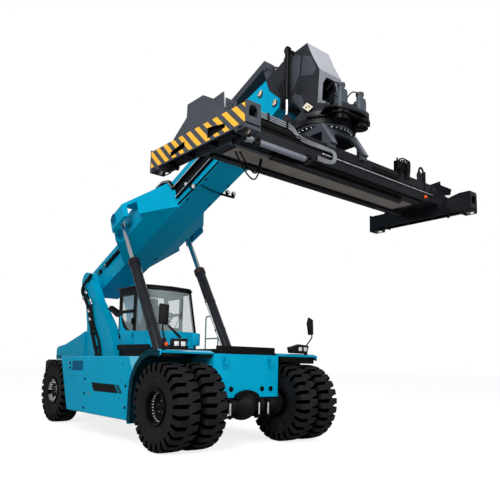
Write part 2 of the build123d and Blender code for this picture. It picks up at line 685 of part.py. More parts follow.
def inner_boom():
    """Sliding boom section with the side plates that take the nose."""
    half = BOOM_HALF - BOOM_WALL - INNER_GAP
    low, top = BOOM_LOW + BOOM_WALL + INNER_GAP, BOOM_TOP - BOOM_WALL - INNER_GAP
    w = INNER_WALL
    part = boom_box(-half, half, INNER_TAIL, INNER_FRONT, low, top)
    part -= boom_box(-half + w, half - w, INNER_TAIL - 1, INNER_FRONT - 40, low + w, top - w)
    for s in (INNER_TAIL + 40, INNER_TAIL + 700):
        pads = boom_box(-half - INNER_GAP + 0.5, half + INNER_GAP - 0.5, s, s + 200,
                        low + 80, top - 80)
        pads += boom_box(-half + 60, half - 60, s, s + 200, low - INNER_GAP + 0.5,
                         top + INNER_GAP - 0.5)
        part += pads - boom_box(-half + w, half - w, s - 1, s + 201, low + w, top - w)
    plate = [(7320, top), (7790, 400), (8108, -243), (8021, -402), (7813, -434), (7150, low)]
    cheek = boom_slab(plate, half, half + 48)
    part += cheek + flip(cheek)
    for s, h in NOSE_BOLTS:
        part -= bar_x(NOSE_BOLT_R + FIT, -half - 60, half + 60, -s, h)
    return BOOM * part


def boom_nose():
    """Hollow nose bolted to the boom end; its cheeks carry the spreader pin."""
    wall = 30
    outline = [(INNER_FRONT, 440), (8450, 440), (9072, 276), (9080, -95), (9118, -447),
               (8814, NOSE_PIN_H - 26), (8600, NOSE_PIN_H - 120), (8520, NOSE_PIN_H),
               (8330, -520), (INNER_FRONT, -190)]
    inside = [(INNER_FRONT + wall, 400), (8440, 400), (9036, 250), (9044, -95), (9078, -440),
              (8790, -980), (8700, -1300), (8500, -1300), (8490, -1000), (8360, -540),
              (INNER_FRONT + wall, -150)]
    half = NOSE_HALF - 18
    part = boom_slab(outline, -half, half)
    part -= boom_slab(inside, -half + CHEEK_T, half - CHEEK_T)
    part -= nose_port()
    for s, h in NOSE_BOLTS:
        part += bar_x(NOSE_BOLT_R, -half - 66, half + 66, -s, h)
    part += bar_x(140, -half - 24, -half, -NOSE_PIN_S, NOSE_PIN_H)
    part += bar_x(140, half, half + 24, -NOSE_PIN_S, NOSE_PIN_H)
    part += bar_x(NOSE_PIN_R, -NOSE_HALF - 92, NOSE_HALF + 92, -NOSE_PIN_S, NOSE_PIN_H)
    return BOOM * part + damper_pins(half)


def nose_port():
    """Opening in the lowest front plate of the nose, its top corners cut off."""
    points = [(-190, -930), (190, -930), (190, -640), (105, -520), (-105, -520), (-190, -640)]
    return slab_y(points, -9300, -8600)


def damper_pins(half):
    y = SLEW_Y + DAMPER_BACK
    return bar_x(38, half - 20, DAMPER_X + 40, y, DAMPER_TOP_Z) + bar_x(
        38, -DAMPER_X - 40, -half + 20, y, DAMPER_TOP_Z)


def hose_tray():
    """Sheet trough above the boom that carries hoses out to the nose."""
    h = 690
    part = boom_box(-330, -70, 6350, 7960, h, h + 150)
    part -= boom_box(-318, -82, 6349, 7950, h + 12, h + 151)
    part += boom_box(-330, -70, 7960, 8050, h - 60, h + 150)
    post = boom_box(-300, -100, 7920, 8040, 440, h + 5)
    return BOOM * (part + post)


# --- lift cylinders ----------------------------------------------------------
def lift_barrel():
    """Barrel with foot eye and foot pin, upright at the origin."""
    r = LIFT_BARREL_R
    bore = r - LIFT_BORE_WALL
    part = bar_z(r, 140, LIFT_BARREL_LEN, 0, 0)
    part += bar_z(r + 16, LIFT_BARREL_LEN - 150, LIFT_BARREL_LEN, 0, 0)
    part -= bar_z(bore, 255, LIFT_BARREL_LEN - 50, 0, 0)
    part -= bar_z(LIFT_ROD_R + FIT, LIFT_BARREL_LEN - 51, LIFT_BARREL_LEN + 1, 0, 0)
    part += bar_x(LIFT_FOOT_R, -130, 130, 0, 0)
    part += bar_x(LIFT_FOOT_PIN_R, -194, 194, 0, 0)
    return place_lift(part)


def lift_rod():
    """Chromed rod with its piston and the eye at the boom."""
    tail = LIFT_LEN - (LIFT_CLOSED - 275)
    part = bar_z(LIFT_ROD_R, tail, LIFT_LEN - 100, 0, 0)
    part += bar_z(LIFT_BARREL_R - LIFT_BORE_WALL - SEAT, tail, tail + 95, 0, 0)
    part += Pos(0, 0, LIFT_LEN) * bar_x(LIFT_EYE_R, -140, 140, 0, 0)
    return place_lift(part)


def place_lift(part):
    lean = Rot(-degrees(LIFT_LEAN), 0, 0)
    return Pos(LIFT_X, LIFT_FOOT_Y, LIFT_FOOT_Z) * lean * part


# --- slewing gear ------------------------------------------------------------
def damper_barrels():
    """Barrels of the two swing dampers that hang from the nose."""
    y = SLEW_Y + DAMPER_BACK
    part = None
    for x in (-DAMPER_X, DAMPER_X):
        one = bar_z(DAMPER_BARREL_R, 6560, DAMPER_TOP_Z - 40, x, y)
        one -= bar_z(DAMPER_BARREL_R - 10, 6600, DAMPER_TOP_Z - 120, x, y)
        one -= bar_z(DAMPER_ROD_R + FIT, 6559, 6601, x, y)
        one += bar_x(70, x - 30, x + 30, y, DAMPER_TOP_Z)
        one -= bar_x(38 + FIT, x - 60, x + 60, y, DAMPER_TOP_Z)
        part = one if part is None else part + one
    return part


def damper_rods():
    y = SLEW_Y + DAMPER_BACK
    part = None
    for x in (-DAMPER_X, DAMPER_X):
        one = bar_z(DAMPER_ROD_R, DAMPER_LOW_Z + 30, DAMPER_LOW_Z + 700, x, y)
        one += bar_x(48, x - 28, x + 28, y, DAMPER_LOW_Z)
        part = one if part is None else part + one
    return part


def rotator_housing():
    """Level head under the nose: drum, motor shelf, hanger plates, damper lugs."""
    z0 = SLEW_RING_Z + SLEW_RING_T + 0.5
    z1 = z0 + HOUSING_T
    part = bar_z(510, z0, z1, 0, SLEW_Y)
    reach = (MOTOR_OFFSET ** 2 - MOTOR_X ** 2) ** 0.5
    part += block(-MOTOR_X, MOTOR_X, SLEW_Y - reach - 165, SLEW_Y, z0 + 60, z1)
    for x in (-MOTOR_X, MOTOR_X):
        part += bar_z(165, z0 + 60, z1, x, SLEW_Y - reach)
        part -= bar_z(60 + SEAT, z0, z1 + 1, x, SLEW_Y - reach)
    hanger = [(SLEW_Y - 520, z1 - 10), (SLEW_Y + 420, z1 - 10), (SLEW_Y + 420, z1 + 25),
              (SLEW_Y + 150, NOSE_PIN_Z + 20), (SLEW_Y + 60, NOSE_PIN_Z + 135),
              (SLEW_Y - 60, NOSE_PIN_Z + 135), (SLEW_Y - 180, NOSE_PIN_Z + 40),
              (SLEW_Y - 520, z1 + 60)]
    x0 = NOSE_HALF + SWING + 2
    plate = slab_x(hanger, x0, x0 + CHEEK_T)
    plate -= bar_x(NOSE_PIN_R + FIT, 0, 600, SLEW_Y, NOSE_PIN_Z)
    part += plate + flip(plate)
    y = SLEW_Y + DAMPER_BACK
    for x in (DAMPER_X - 55, DAMPER_X + 33):
        ear = [(y - 180, z0 + 20), (y - 60, DAMPER_LOW_Z + 50), (y + 25, DAMPER_LOW_Z + 50),
               (y + 62, DAMPER_LOW_Z + 5), (y + 62, z0 + 80), (y - 60, z0 + 20)]
        part += slab_x(ear, x, x + 22) + slab_x(ear, -x - 22, -x)
    return part + pair(180, DAMPER_X + 55, y - 190, y - 50, z0 + 20, z1 - 30)


def slew_motors():
    """Two slewing drives: pinion, gearbox and motor on the shelf."""
    z0 = SLEW_RING_Z
    z1 = z0 + SLEW_RING_T + 0.5 + HOUSING_T
    reach = (MOTOR_OFFSET ** 2 - MOTOR_X ** 2) ** 0.5
    part = None
    for x in (-MOTOR_X, MOTOR_X):
        one = bar_z(MOTOR_OFFSET - SLEW_RING_R - 0.5, z0, z0 + 105, x, SLEW_Y - reach)
        one += bar_z(60, z0 + 100, z0 + 175, x, SLEW_Y - reach)
        one += bar_z(MOTOR_R + 28, z1, z1 + 30, x, SLEW_Y - reach)
        one += bar_z(MOTOR_R, z1, z1 + 230, x, SLEW_Y - reach)
        one += bar_z(62, z1 + 230, z1 + 380, x, SLEW_Y - reach)
        one += bar_z(60, z0 + 170, z1 + 2, x, SLEW_Y - reach)
        part = one if part is None else part + one
    return part


def slew_ring():
    part = bar_z(SLEW_RING_R, SLEW_RING_Z, SLEW_RING_Z + SLEW_RING_T, 0, SLEW_Y)
    return part - bar_z(430, SLEW_RING_Z - 1, SLEW_RING_Z + SLEW_RING_T + 1, 0, SLEW_Y)


def level_rect(half_x, half_y, z):
    return Pos(0, SLEW_Y, z) * Rectangle(2 * half_x, 2 * half_y)


def centre_frame():
    """Four legged frame between the slewing ring and the spreader."""
    z0, z1 = MAIN_Z1 + 0.5, SLEW_RING_Z
    part = loft([level_rect(FRAME_HALF_X, FRAME_LOW_HALF_Y, z0),
                 level_rect(FRAME_HALF_X - 30, FRAME_TOP_HALF_Y, z1)])
    inner = loft([level_rect(FRAME_HALF_X - 45, FRAME_LOW_HALF_Y - 45, z0),
                  level_rect(FRAME_HALF_X - 75, FRAME_TOP_HALF_Y - 45, z1 - 45)])
    part -= inner
    arch = slab_y([(-340, z0 - 1), (340, z0 - 1), (300, z0 + 200), (190, z0 + 300),
                   (-190, z0 + 300), (-300, z0 + 200)], SLEW_Y - 900, SLEW_Y + 900)
    part -= arch
    part -= block(-700, 700, SLEW_Y - 430, SLEW_Y + 430, z0 + 90, z0 + 270)
    part += bar_z(SLEW_RING_R - 20, z1 - 30, z1, 0, SLEW_Y)
    rail_y = TUBE_HALF_Y + 4
    claws = pair(FRAME_HALF_X - 150, FRAME_HALF_X, SLEW_Y - rail_y - 60, SLEW_Y - rail_y,
                 MAIN_Z1 - 70, z0 + 45)
    claws += pair(FRAME_HALF_X - 150, FRAME_HALF_X, SLEW_Y + rail_y, SLEW_Y + rail_y + 60,
                  MAIN_Z1 - 70, z0 + 45)
    return part + claws


# --- spreader ----------------------------------------------------------------
def main_frame():
    """Two box tubes side by side, open at their ends for the sliding arms."""
    x0, x1 = SPREADER_X - MAIN_HALF_X, SPREADER_X + MAIN_HALF_X
    part = block(x0, x1, SLEW_Y - TUBE_HALF_Y, SLEW_Y + TUBE_HALF_Y, MAIN_Z0, MAIN_Z1)
    for a, b in tube_spans():
        part -= block(x0 - 1, x1 + 1, a, b, MAIN_Z0 + TUBE_WALL, MAIN_Z1 - TUBE_WALL)
    for x in (x0, x1 - 60):
        part += block(x, x + 60, SLEW_Y - TUBE_HALF_Y - 18, SLEW_Y - TUBE_HALF_Y,
                      MAIN_Z0, MAIN_Z1 - 20)
        part += block(x, x + 60, SLEW_Y + TUBE_HALF_Y, SLEW_Y + TUBE_HALF_Y + 18,
                      MAIN_Z0, MAIN_Z1 - 20)
    return part


def tube_spans():
    """Y limits inside the front and rear tubes."""
    gap = TUBE_WEB / 2
    return ((SLEW_Y - TUBE_HALF_Y + TUBE_WALL, SLEW_Y - gap),
            (SLEW_Y + gap, SLEW_Y + TUBE_HALF_Y - TUBE_WALL))


def spread_cylinders():
    """Barrels that push the end beams out, slung below the main frame."""
    z = MAIN_Z0 - 62
    part = None
    for side, y in ((-1, SLEW_Y - 300), (1, SLEW_Y + 300)):
        one = bar_x(55, SPREADER_X - 1750, SPREADER_X + 1750, y, z)
        one -= bar_x(42, SPREADER_X - 1650, SPREADER_X + 1710, y, z)
        one -= bar_x(28 + FIT, SPREADER_X + side * 1600, SPREADER_X + side * 1760, y, z)
        for x in (-1700, 0, 1640):
            one += block(SPREADER_X + x, SPREADER_X + x + 60, y - 70, y + 70, z + 48, MAIN_Z0)
        part = one if part is None else part + one
    return part


def end_beam(side):
    """End beam with its upright plate, corner housings and sliding arm."""
    x = SPREADER_X + side * TWIST_X
    hx, hy = END_HALF_X, END_HALF_Y
    part = block(x - hx, x + hx, SLEW_Y - hy, SLEW_Y + hy, END_Z0, END_Z1)
    part -= block(x - hx + 18, x + hx - 18, SLEW_Y - hy + 240, SLEW_Y + hy - 240,
                  END_Z0 - 1, END_Z1 - 18)
    if side > 0:
        y = SLEW_Y - hy
        ramp = [(y, END_Z1 - 1), (y, END_Z1 + 70), (y + 230, END_Z1 + 70), (y + 560, END_Z1 - 1)]
        part += slab_x(ramp, x - hx, x + hx)
    for y in (SLEW_Y - hy, SLEW_Y + hy - 210):
        part -= block(x - hx + 22, x + hx - 22, y - 1, y + 211, END_Z0 + 130, END_Z1 - 24)
    part -= side_windows(x + side * (hx - 9))
    for y in (SLEW_Y - TWIST_Y, SLEW_Y + TWIST_Y):
        part -= bar_z(30 + FIT, END_Z0 - 1, END_Z0 + 131, x, y)
    upright = [(SLEW_Y - 760, END_Z1 - 5), (SLEW_Y - 600, 5250), (SLEW_Y - 290, 5540),
               (SLEW_Y - 46, 5680), (SLEW_Y + 379, 5680), (SLEW_Y + 389, 5470),
               (SLEW_Y + 940, END_Z1 - 5)]
    inner = x - side * 60
    part += slab_x(upright, min(x, inner), max(x, inner))
    a, b = tube_spans()[0 if side > 0 else 1]
    root = x - side * 4700
    arm = block(min(inner, root), max(inner, root), a + SLIDE / 4, b - SLIDE / 4,
                MAIN_Z0 + TUBE_WALL + SLIDE / 4, MAIN_Z1 - TUBE_WALL - SLIDE / 4)
    arm -= block(min(inner, root) + 10, max(inner, root) - 10, a + 22, b - 22,
                 MAIN_Z0 + TUBE_WALL + 22, MAIN_Z1 - TUBE_WALL - 22)
    y, z = SLEW_Y + side * 300, MAIN_Z0 - 62
    rod_end = SPREADER_X - side * 1500
    rod = bar_x(28, min(rod_end, x), max(rod_end, x), y, z)
    return part + arm + rod


def side_windows(x):
    """Two four cornered windows in the outer wall of an end beam."""
    y, z = SLEW_Y, END_Z0
    rear = [(y + 210, z + 95), (y + 230, z + 195), (y + 620, z + 135), (y + 630, z + 52)]
    front = [(y - 790, z + 85), (y - 780, z + 150), (y - 360, z + 216), (y - 366, z + 52)]
    return slab_x(rear, x - 12, x + 12) + slab_x(front, x - 12, x + 12)


def twistlock(side, y):
    """Twistlock with shaft, collar and pointed head, turned to unlocked."""
    x = SPREADER_X + side * TWIST_X
    part = bar_z(30, END_Z0 - 30, END_Z0 + 132, x, y)
    part += bar_z(46, END_Z0 + 131, END_Z0 + 160, x, y)
    head = Pos(x, y, END_Z0 - 14) * Box(52, 100, 26)
    tip = loft([Pos(x, y, END_Z0 - 24) * Rectangle(52, 100),
                Pos(x, y, TWIST_TIP_Z) * Rectangle(16, 34)])
    return part + head + tip


# --- all the nodes -----------------------------------------------------------
def on_both_sides(left):
    """Two like pieces of one body in one node."""
    return left + flip(left)


def both(name, left):
    """Right and left nodes from a part built on the left."""
    return {f"{name}_left": left, f"{name}_right": flip(left)}


def all_nodes():
    nodes = {
        "chassis_frame": chassis_frame(),
        "front_plate": front_plate(),
        "drive_axle": drive_axle(),
        "steer_axle": steer_axle(),
        "front_fenders": on_both_sides(front_fender()),
        "side_tanks": on_both_sides(side_tank()),
        "lift_barrels": on_both_sides(lift_barrel()),
        "lift_rods": on_both_sides(lift_rod()),
        "counterweight": counterweight(),
        "engine_hood": engine_hood(),
        "engine_block": engine_block(),
        "lift_valves": valve_block(),
        "cab_slide_rails": slide_rails(),
        "walkways": walkways(),
        "handrails": handrails(),
        "fender_lamps": fender_lamp_posts(),
        "mirrors": mirror_arm(-1985, -2030, -190) + mirror_arm(1820, 1840, -190),
        "cab_body": cab_lower(),
        "cab_frame": cab_frame(),
        "cab_roof": cab_roof(),
        "windscreen": windscreen(),
        "cab_glass": cab_glass(),
        "operator_seat": seat(),
        "steering_console": console(),
        "outer_boom": outer_boom(),
        "hose_track": hose_track(),
        "inner_boom": inner_boom(),
        "boom_nose": boom_nose(),
        "hose_tray": hose_tray(),
        "damper_barrels": damper_barrels(),
        "damper_rods": damper_rods(),
        "rotator_housing": rotator_housing(),
        "slew_motors": slew_motors(),
        "slew_ring": slew_ring(),
        "centre_frame": centre_frame(),
        "spreader_frame": main_frame(),
        "spread_cylinders": spread_cylinders(),
    }
    nodes.update(both("front_tyres", front_tyres(1)))
    nodes.update(both("front_rims", front_rim()))
    nodes.update(both("rear_tyre", turned(tyre(REAR_WHEEL_X), 0, WHEELBASE, AXLE_Z)))
    nodes.update(both("rear_rim", rear_rim()))
    nodes.update(both("steering_knuckle", knuckle()))
    nodes.update(both("cab_door", cab_door()))
    nodes.update(both("door_glass", door_glass()))
    for side, word in SIDES:
        nodes[f"end_beam_{word}"] = end_beam(side)
        nodes[f"twistlock_front_{word}"] = twistlock(side, SLEW_Y - TWIST_Y)
        nodes[f"twistlock_rear_{word}"] = twistlock(side, SLEW_Y + TWIST_Y)
    return nodes


os.makedirs("parts", exist_ok=True)
for name, shape in all_nodes().items():
    export_step(Pos(-ORIGIN_X, -ORIGIN_Y, TYRE_R - AXLE_Z) * shape, f"parts/{name}.step")
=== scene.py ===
# %% [markdown]
# # A reach stacker, dressed for looks
# The machine's frame, boom and spreader come as solid models from a CAD
# program. This notebook gives each of them a surface, and adds the small
# things that CAD leaves out: tread, bolts, hoses, lamps and gear teeth.
# All places are written in millimetres, in the machine's own frame: X to its
# left, Y to its rear, Z up, zero on the ground midway between the front wheels.
# On the boom a place is (x, -s, h): s along the boom from its pin, h above it.

# %% Load the CAD model
from math import atan2, cos, pi, radians, sin

import bmesh
import bpy
from mathutils import Matrix, Vector


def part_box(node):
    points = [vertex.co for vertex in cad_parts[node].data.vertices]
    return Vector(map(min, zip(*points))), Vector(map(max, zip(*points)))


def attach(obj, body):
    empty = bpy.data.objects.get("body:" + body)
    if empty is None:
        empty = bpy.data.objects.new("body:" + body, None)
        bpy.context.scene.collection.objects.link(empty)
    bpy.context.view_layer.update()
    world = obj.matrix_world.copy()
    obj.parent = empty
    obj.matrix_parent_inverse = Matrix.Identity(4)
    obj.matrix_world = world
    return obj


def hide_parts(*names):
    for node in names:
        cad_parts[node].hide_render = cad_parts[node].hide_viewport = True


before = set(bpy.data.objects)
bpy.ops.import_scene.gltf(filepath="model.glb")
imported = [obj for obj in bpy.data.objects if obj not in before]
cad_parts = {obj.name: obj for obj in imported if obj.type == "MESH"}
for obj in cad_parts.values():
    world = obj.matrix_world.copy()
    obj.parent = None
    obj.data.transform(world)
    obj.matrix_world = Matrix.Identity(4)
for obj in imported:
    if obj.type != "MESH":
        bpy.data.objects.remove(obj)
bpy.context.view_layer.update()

# %% [markdown]
# The boom has its own frame, turned about its pin, because all that is on it
# lies square to the boom. Pieces could be turned one by one, but then no size
# on the boom could be read.

# %% The machine's frame and the boom's frame
left_lo, left_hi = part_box("front_tyres_left")
right_lo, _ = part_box("front_tyres_right")
middle = Vector(((left_hi[0] + right_lo[0]) / 2, (left_lo[1] + left_hi[1]) / 2, 0))
MM = Matrix.Scale(0.001, 4)
MACHINE = Matrix.Translation(middle) @ MM
BOOM_ANGLE = radians(22.6)
PIVOT = Vector((0, 6200, 3860))
BOOM = MACHINE @ Matrix.Translation(PIVOT) @ Matrix.Rotation(-BOOM_ANGLE, 4, "X")
TYRE_R = 820
WHEELBASE = 6000
SLEW_Y = -2199.9
SPREADER_X = 200
print("front axle middle", [round(v, 3) for v in middle])

# %% [markdown]
# ## Tools for shapes
# Each piece starts as a bmesh, Blender's editable mesh. Boxes, rods and plates
# come from the create operators, a bevel rounds their edges, and a spin repeats
# a bolt round a circle. A last step gives the piece its finish and its body.

# %% Boxes, rods and plates
def box(bm, x0, x1, y0, y1, z0, z1):
    """A box between three pairs of limits."""
    low, high = Vector((x0, y0, z0)), Vector((x1, y1, z1))
    size = Matrix.Diagonal((high - low).to_4d())
    size[3][3] = 1
    return bmesh.ops.create_cube(
        bm, size=1, matrix=Matrix.Translation((low + high) / 2) @ size)["verts"]


def rod(bm, start, end, radius, end_radius=None, sides=24):
    """A round bar, or a cone if it has two radii."""
    start, end = Vector(start), Vector(end)
    along = end - start
    turn = along.to_track_quat("Z", "Y").to_matrix().to_4x4()
    return bmesh.ops.create_cone(
        bm, cap_ends=True, cap_tris=False, segments=sides, radius1=radius,
        radius2=radius if end_radius is None else end_radius, depth=along.length,
        matrix=Matrix.Translation((start + end) / 2) @ turn)["verts"]


def plate(bm, corners, push):
    """A flat plate from its corners, made thick along a vector."""
    face = bm.faces.new([bm.verts.new(c) for c in corners])
    grown = bmesh.ops.extrude_face_region(bm, geom=[face])["geom"]
    moved = [g for g in grown if isinstance(g, bmesh.types.BMVert)]
    bmesh.ops.translate(bm, vec=push, verts=moved)
    return moved

# %% [markdown]
# A ring of bolts could be an array modifier. A spin makes it at once, inside
# the mesh, and leaves nothing to apply. The bevel is an operator too: real plates
# have ground edges, and each one catches a thin line of light.

# %% Repeats, mirrors and soft edges
def round_and_round(bm, verts, centre, axis, count):
    """Copies of a shape evenly round a circle."""
    step = 2 * pi / count
    shape = list(verts) + list({e for v in verts for e in v.link_edges}) + list(
        {f for v in verts for f in v.link_faces})
    bmesh.ops.spin(bm, geom=shape, cent=centre, axis=axis, angle=step * (count - 1),
                   steps=count - 1, use_duplicate=True)


def both_sides(bm):
    """Everything again, mirrored to the other side of the machine."""
    copy = bmesh.ops.duplicate(bm, geom=bm.verts[:] + bm.edges[:] + bm.faces[:])["geom"]
    verts = [g for g in copy if isinstance(g, bmesh.types.BMVert)]
    faces = [g for g in copy if isinstance(g, bmesh.types.BMFace)]
    bmesh.ops.scale(bm, vec=(-1, 1, 1), verts=verts)
    bmesh.ops.reverse_faces(bm, faces=faces)


def soften(bm, width=4, segments=2):
    """Rounds every edge sharper than 40 degrees, as a plate shop's grinder does."""
    sharp = [e for e in bm.edges if len(e.link_faces) == 2
             and e.calc_face_angle(0) > radians(40)]
    bmesh.ops.bevel(bm, geom=sharp, offset=width, offset_type="OFFSET",
                    segments=segments, profile=0.5, affect="EDGES",
                    clamp_overlap=True, material=-1)

# %% [markdown]
# Every piece needs a finish, the body that it rides on, and the slot that says
# what kind of surface it is. One step does all three, so none is forgotten.

# %% Finish a piece
def settle(bm, name, finish, body, place=MACHINE, smooth=True, replaces=(),
           second=None):
    """Turns a bmesh into a piece that rides on a body; second is for faces of index 1."""
    bmesh.ops.recalc_face_normals(bm, faces=bm.faces)
    bmesh.ops.transform(bm, matrix=place, verts=bm.verts)
    mesh = bpy.data.meshes.new(name)
    bm.to_mesh(mesh)
    bm.free()
    if smooth:
        mesh.shade_smooth()
        mesh.set_sharp_from_angle(angle=radians(35))
    piece = bpy.data.objects.new(name, mesh)
    bpy.context.collection.objects.link(piece)
    mesh.materials.append(finish)
    if second:
        mesh.materials.append(second)
    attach(piece, body)
    if replaces:
        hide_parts(*replaces)
    print(name, len(mesh.polygons), "faces")
    return piece

# %% [markdown]
# A hydraulic hose is an even tube along a smooth line. A mesh could be swept
# along it, but a curve with a round bevel needs only a few points, and stays
# just as thick in its bends.

# %% Hoses
def hose(name, points, diameter, finish, body, place=MACHINE):
    """A hose clamped at its ends, along a smooth curve through a few points."""
    curve = bpy.data.curves.new(name, "CURVE")
    curve.dimensions = "3D"
    curve.bevel_depth = diameter / 2000
    curve.bevel_resolution = 3
    curve.resolution_u = 6
    curve.use_fill_caps = True
    for line in points:
        spline = curve.splines.new("NURBS")
        spline.points.add(len(line) - 1)
        for point, spot in zip(spline.points, line):
            point.co = (*(place @ Vector(spot)), 1)
        spline.order_u = 3
        spline.use_endpoint_u = True
    piece = bpy.data.objects.new(name, curve)
    bpy.context.collection.objects.link(piece)
    curve.materials.append(finish)
    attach(piece, body)
    print(name, len(points), "hoses")
    return piece


# %% [markdown]
# ## Light, floor and camera
# The machine stands on a pale floor in soft light from above and from the
# camera's side. The floor and the world show white to the camera and through
# glass, so the object is lit plainly and its colours read as they are.

# %% Colour and node helpers
def linear(code):
    """An sRGB hex colour as the linear numbers that shaders want."""
    parts = [int(code[i:i + 2], 16) / 255 for i in (1, 3, 5)]
    return tuple(p / 12.92 if p <= 0.04045 else ((p + 0.055) / 1.055) ** 2.4
                 for p in parts) + (1.0,)


def add(tree, kind, settings=None, **links):
    """One shader node with its settings and the sockets that feed it.

    A setting named by a number or a socket's name sets that socket, and _0 links to input 0.
    """
    made = tree.nodes.new("ShaderNode" + kind)
    for key, value in (settings or {}).items():
        if isinstance(key, int) or key in made.inputs:
            made.inputs[key].default_value = value
        else:
            setattr(made, key, value)
    for socket, source in links.items():
        tree.links.new(source, made.inputs[int(socket[1:]) if socket[0] == "_" else socket])
    return made

# %% [markdown]
# The floor is a wide disc of matt concrete. It gives off a little light that
# only the camera and glass can see, which brings it near to white and still
# leaves the shadow. The sky does the same, and lights the machine softly.

# %% Floor and world
def floor_finish():
    """Matt grey concrete that shows near white, and still takes the shadow."""
    finish = bpy.data.materials.new("pale studio floor")
    finish.use_nodes = True
    tree = finish.node_tree
    shader = tree.nodes["Principled BSDF"]
    shader.inputs["Base Color"].default_value = linear("#A2A2A2")
    shader.inputs["Roughness"].default_value = 0.9
    path = add(tree, "LightPath")
    seen = add(tree, "Math", {"operation": "MAXIMUM"},
               _0=path.outputs["Is Camera Ray"], _1=path.outputs["Is Transmission Ray"])
    veil = add(tree, "Math", {"operation": "MULTIPLY", 1: 0.8}, _0=seen.outputs[0])
    white = add(tree, "Emission", None, Strength=veil.outputs[0])
    whole = add(tree, "AddShader", None, _0=shader.outputs[0], _1=white.outputs[0])
    tree.links.new(whole.outputs[0], tree.nodes["Material Output"].inputs["Surface"])
    return finish


bm = bmesh.new()
bmesh.ops.create_circle(bm, cap_ends=True, segments=96, radius=120)
floor_mesh = bpy.data.meshes.new("floor")
bm.to_mesh(floor_mesh)
bm.free()
floor = bpy.data.objects.new("floor", floor_mesh)
bpy.context.collection.objects.link(floor)
floor_mesh.materials.append(floor_finish())

world = bpy.data.worlds.new("studio")
bpy.context.scene.world = world
world.use_nodes = True
sky = world.node_tree
sky.nodes.clear()
path = add(sky, "LightPath")
seen = add(sky, "Math", {"operation": "MAXIMUM"},
           _0=path.outputs["Is Camera Ray"], _1=path.outputs["Is Transmission Ray"])
light = add(sky, "Background", {"Color": (0.94, 0.97, 1, 1), "Strength": 0.42})
white = add(sky, "Background", {"Color": (1, 1, 1, 1), "Strength": 1.0})
both = add(sky, "MixShader", None, _0=seen.outputs[0],
           _1=light.outputs[0], _2=white.outputs[0])
add(sky, "OutputWorld", None, Surface=both.outputs[0])

# %% [markdown]
# A large lamp stands high on the machine's right, as a veiled sun would. A
# weaker one in front keeps black parts readable, and one behind draws a light
# edge along the boom. Broad lamps give the soft edges that small ones don't.

# %% Lamps
def lamp(name, spot, target, size, watts):
    data = bpy.data.lights.new(name, "AREA")
    data.size = size
    data.energy = watts
    obj = bpy.data.objects.new(name, data)
    bpy.context.collection.objects.link(obj)
    obj.location = spot
    obj.rotation_euler = (Vector(target) - Vector(spot)).to_track_quat("-Z", "Y").to_euler()


lamp("key", (-13, -11, 12), (0, -1, 3), 9, 2650)
lamp("front", (3, -17, 6), (0, -2, 3), 8, 950)
lamp("back", (10, 14, 12), (0, 0, 3), 9, 700)

# %% [markdown]
# The camera stands low off the front right corner, at a person's eye height,
# and looks up to the spreader. Its lens is close to a normal one, so the near
# tyres look large but not stretched.

# %% Camera
camera_data = bpy.data.cameras.new("camera")
camera_data.sensor_width = 36
camera_data.lens = 39.94
camera_data.shift_y = 0.1
camera_data.clip_end = 500
camera = bpy.data.objects.new("camera", camera_data)
bpy.context.collection.objects.link(camera)
camera.matrix_world = (
    Matrix.Translation(MACHINE @ Vector((-7309.7, -8882.5, 1632.2)))
    @ Matrix.Rotation(-0.7005, 4, "Z")
    @ Matrix.Rotation(pi / 2 + 0.1146, 4, "X")
    @ Matrix.Rotation(0.0196, 4, "Z"))
bpy.context.scene.camera = camera
bpy.context.scene.view_settings.view_transform = "Standard"
print("camera", [round(v, 2) for v in camera.matrix_world.translation])

# %% [markdown]
# ## Finishes
# Each finish is a small shader made for one real material. Noise in Object
# coordinates, in metres, gives the slow change of colour that dust and weather
# leave, and a fine bump gives the skin of a sprayed or cast surface.

# %% A sprayed enamel
def weathered(tree, low, high, size, detail=4.0):
    """Two colours mixed by a noise whose patches are about size metres wide."""
    place = add(tree, "TexCoord")
    patch = add(tree, "TexNoise", {"Scale": 1 / size, "Detail": detail, "Roughness": 0.6},
                Vector=place.outputs["Object"])
    level = add(tree, "MapRange", {"From Min": 0.35, "From Max": 0.65},
                Value=patch.outputs["Fac"])
    return add(tree, "Mix", {"data_type": "RGBA", 6: linear(low), 7: linear(high)},
               _0=level.outputs[0]), place, level


def skin(tree, place, size, depth):
    """A fine bump whose grains are about size metres wide and depth metres high."""
    grain = add(tree, "TexNoise", {"Scale": 1 / size, "Detail": 2.0},
                Vector=place.outputs["Object"])
    return add(tree, "Bump", {"Distance": depth, "Strength": 1.0},
               Height=grain.outputs["Fac"])


def enamel(name, low, high, roughness, patch=0.9, coat=0.0, metallic=0.0, grain=0.004,
           depth=0.00015, gloss=0.3):
    """Enamel sprayed on steel: even colour, orange-peel skin, a little dust."""
    finish = bpy.data.materials.new(name)
    finish.use_nodes = True
    tree = finish.node_tree
    shader = tree.nodes["Principled BSDF"]
    colour, place, level = weathered(tree, low, high, patch)
    dull = add(tree, "MapRange", {"To Min": roughness - 0.04, "To Max": roughness + 0.08},
               Value=level.outputs[0])
    bump = skin(tree, place, grain, depth)
    shader.inputs["Metallic"].default_value = metallic
    shader.inputs["Specular IOR Level"].default_value = 0.5 if metallic else gloss
    shader.inputs["Coat Weight"].default_value = coat
    shader.inputs["Coat Roughness"].default_value = 0.12
    tree.links.new(colour.outputs[2], shader.inputs["Base Color"])
    tree.links.new(dull.outputs[0], shader.inputs["Roughness"])
    tree.links.new(bump.outputs[0], shader.inputs["Normal"])
    return finish


# Two-pack polyurethane in a machine builder's cyan, fresh and glossy.
cyan = enamel("cyan polyurethane enamel", "#009CC2", "#00A3CA", 0.3, gloss=0.05)
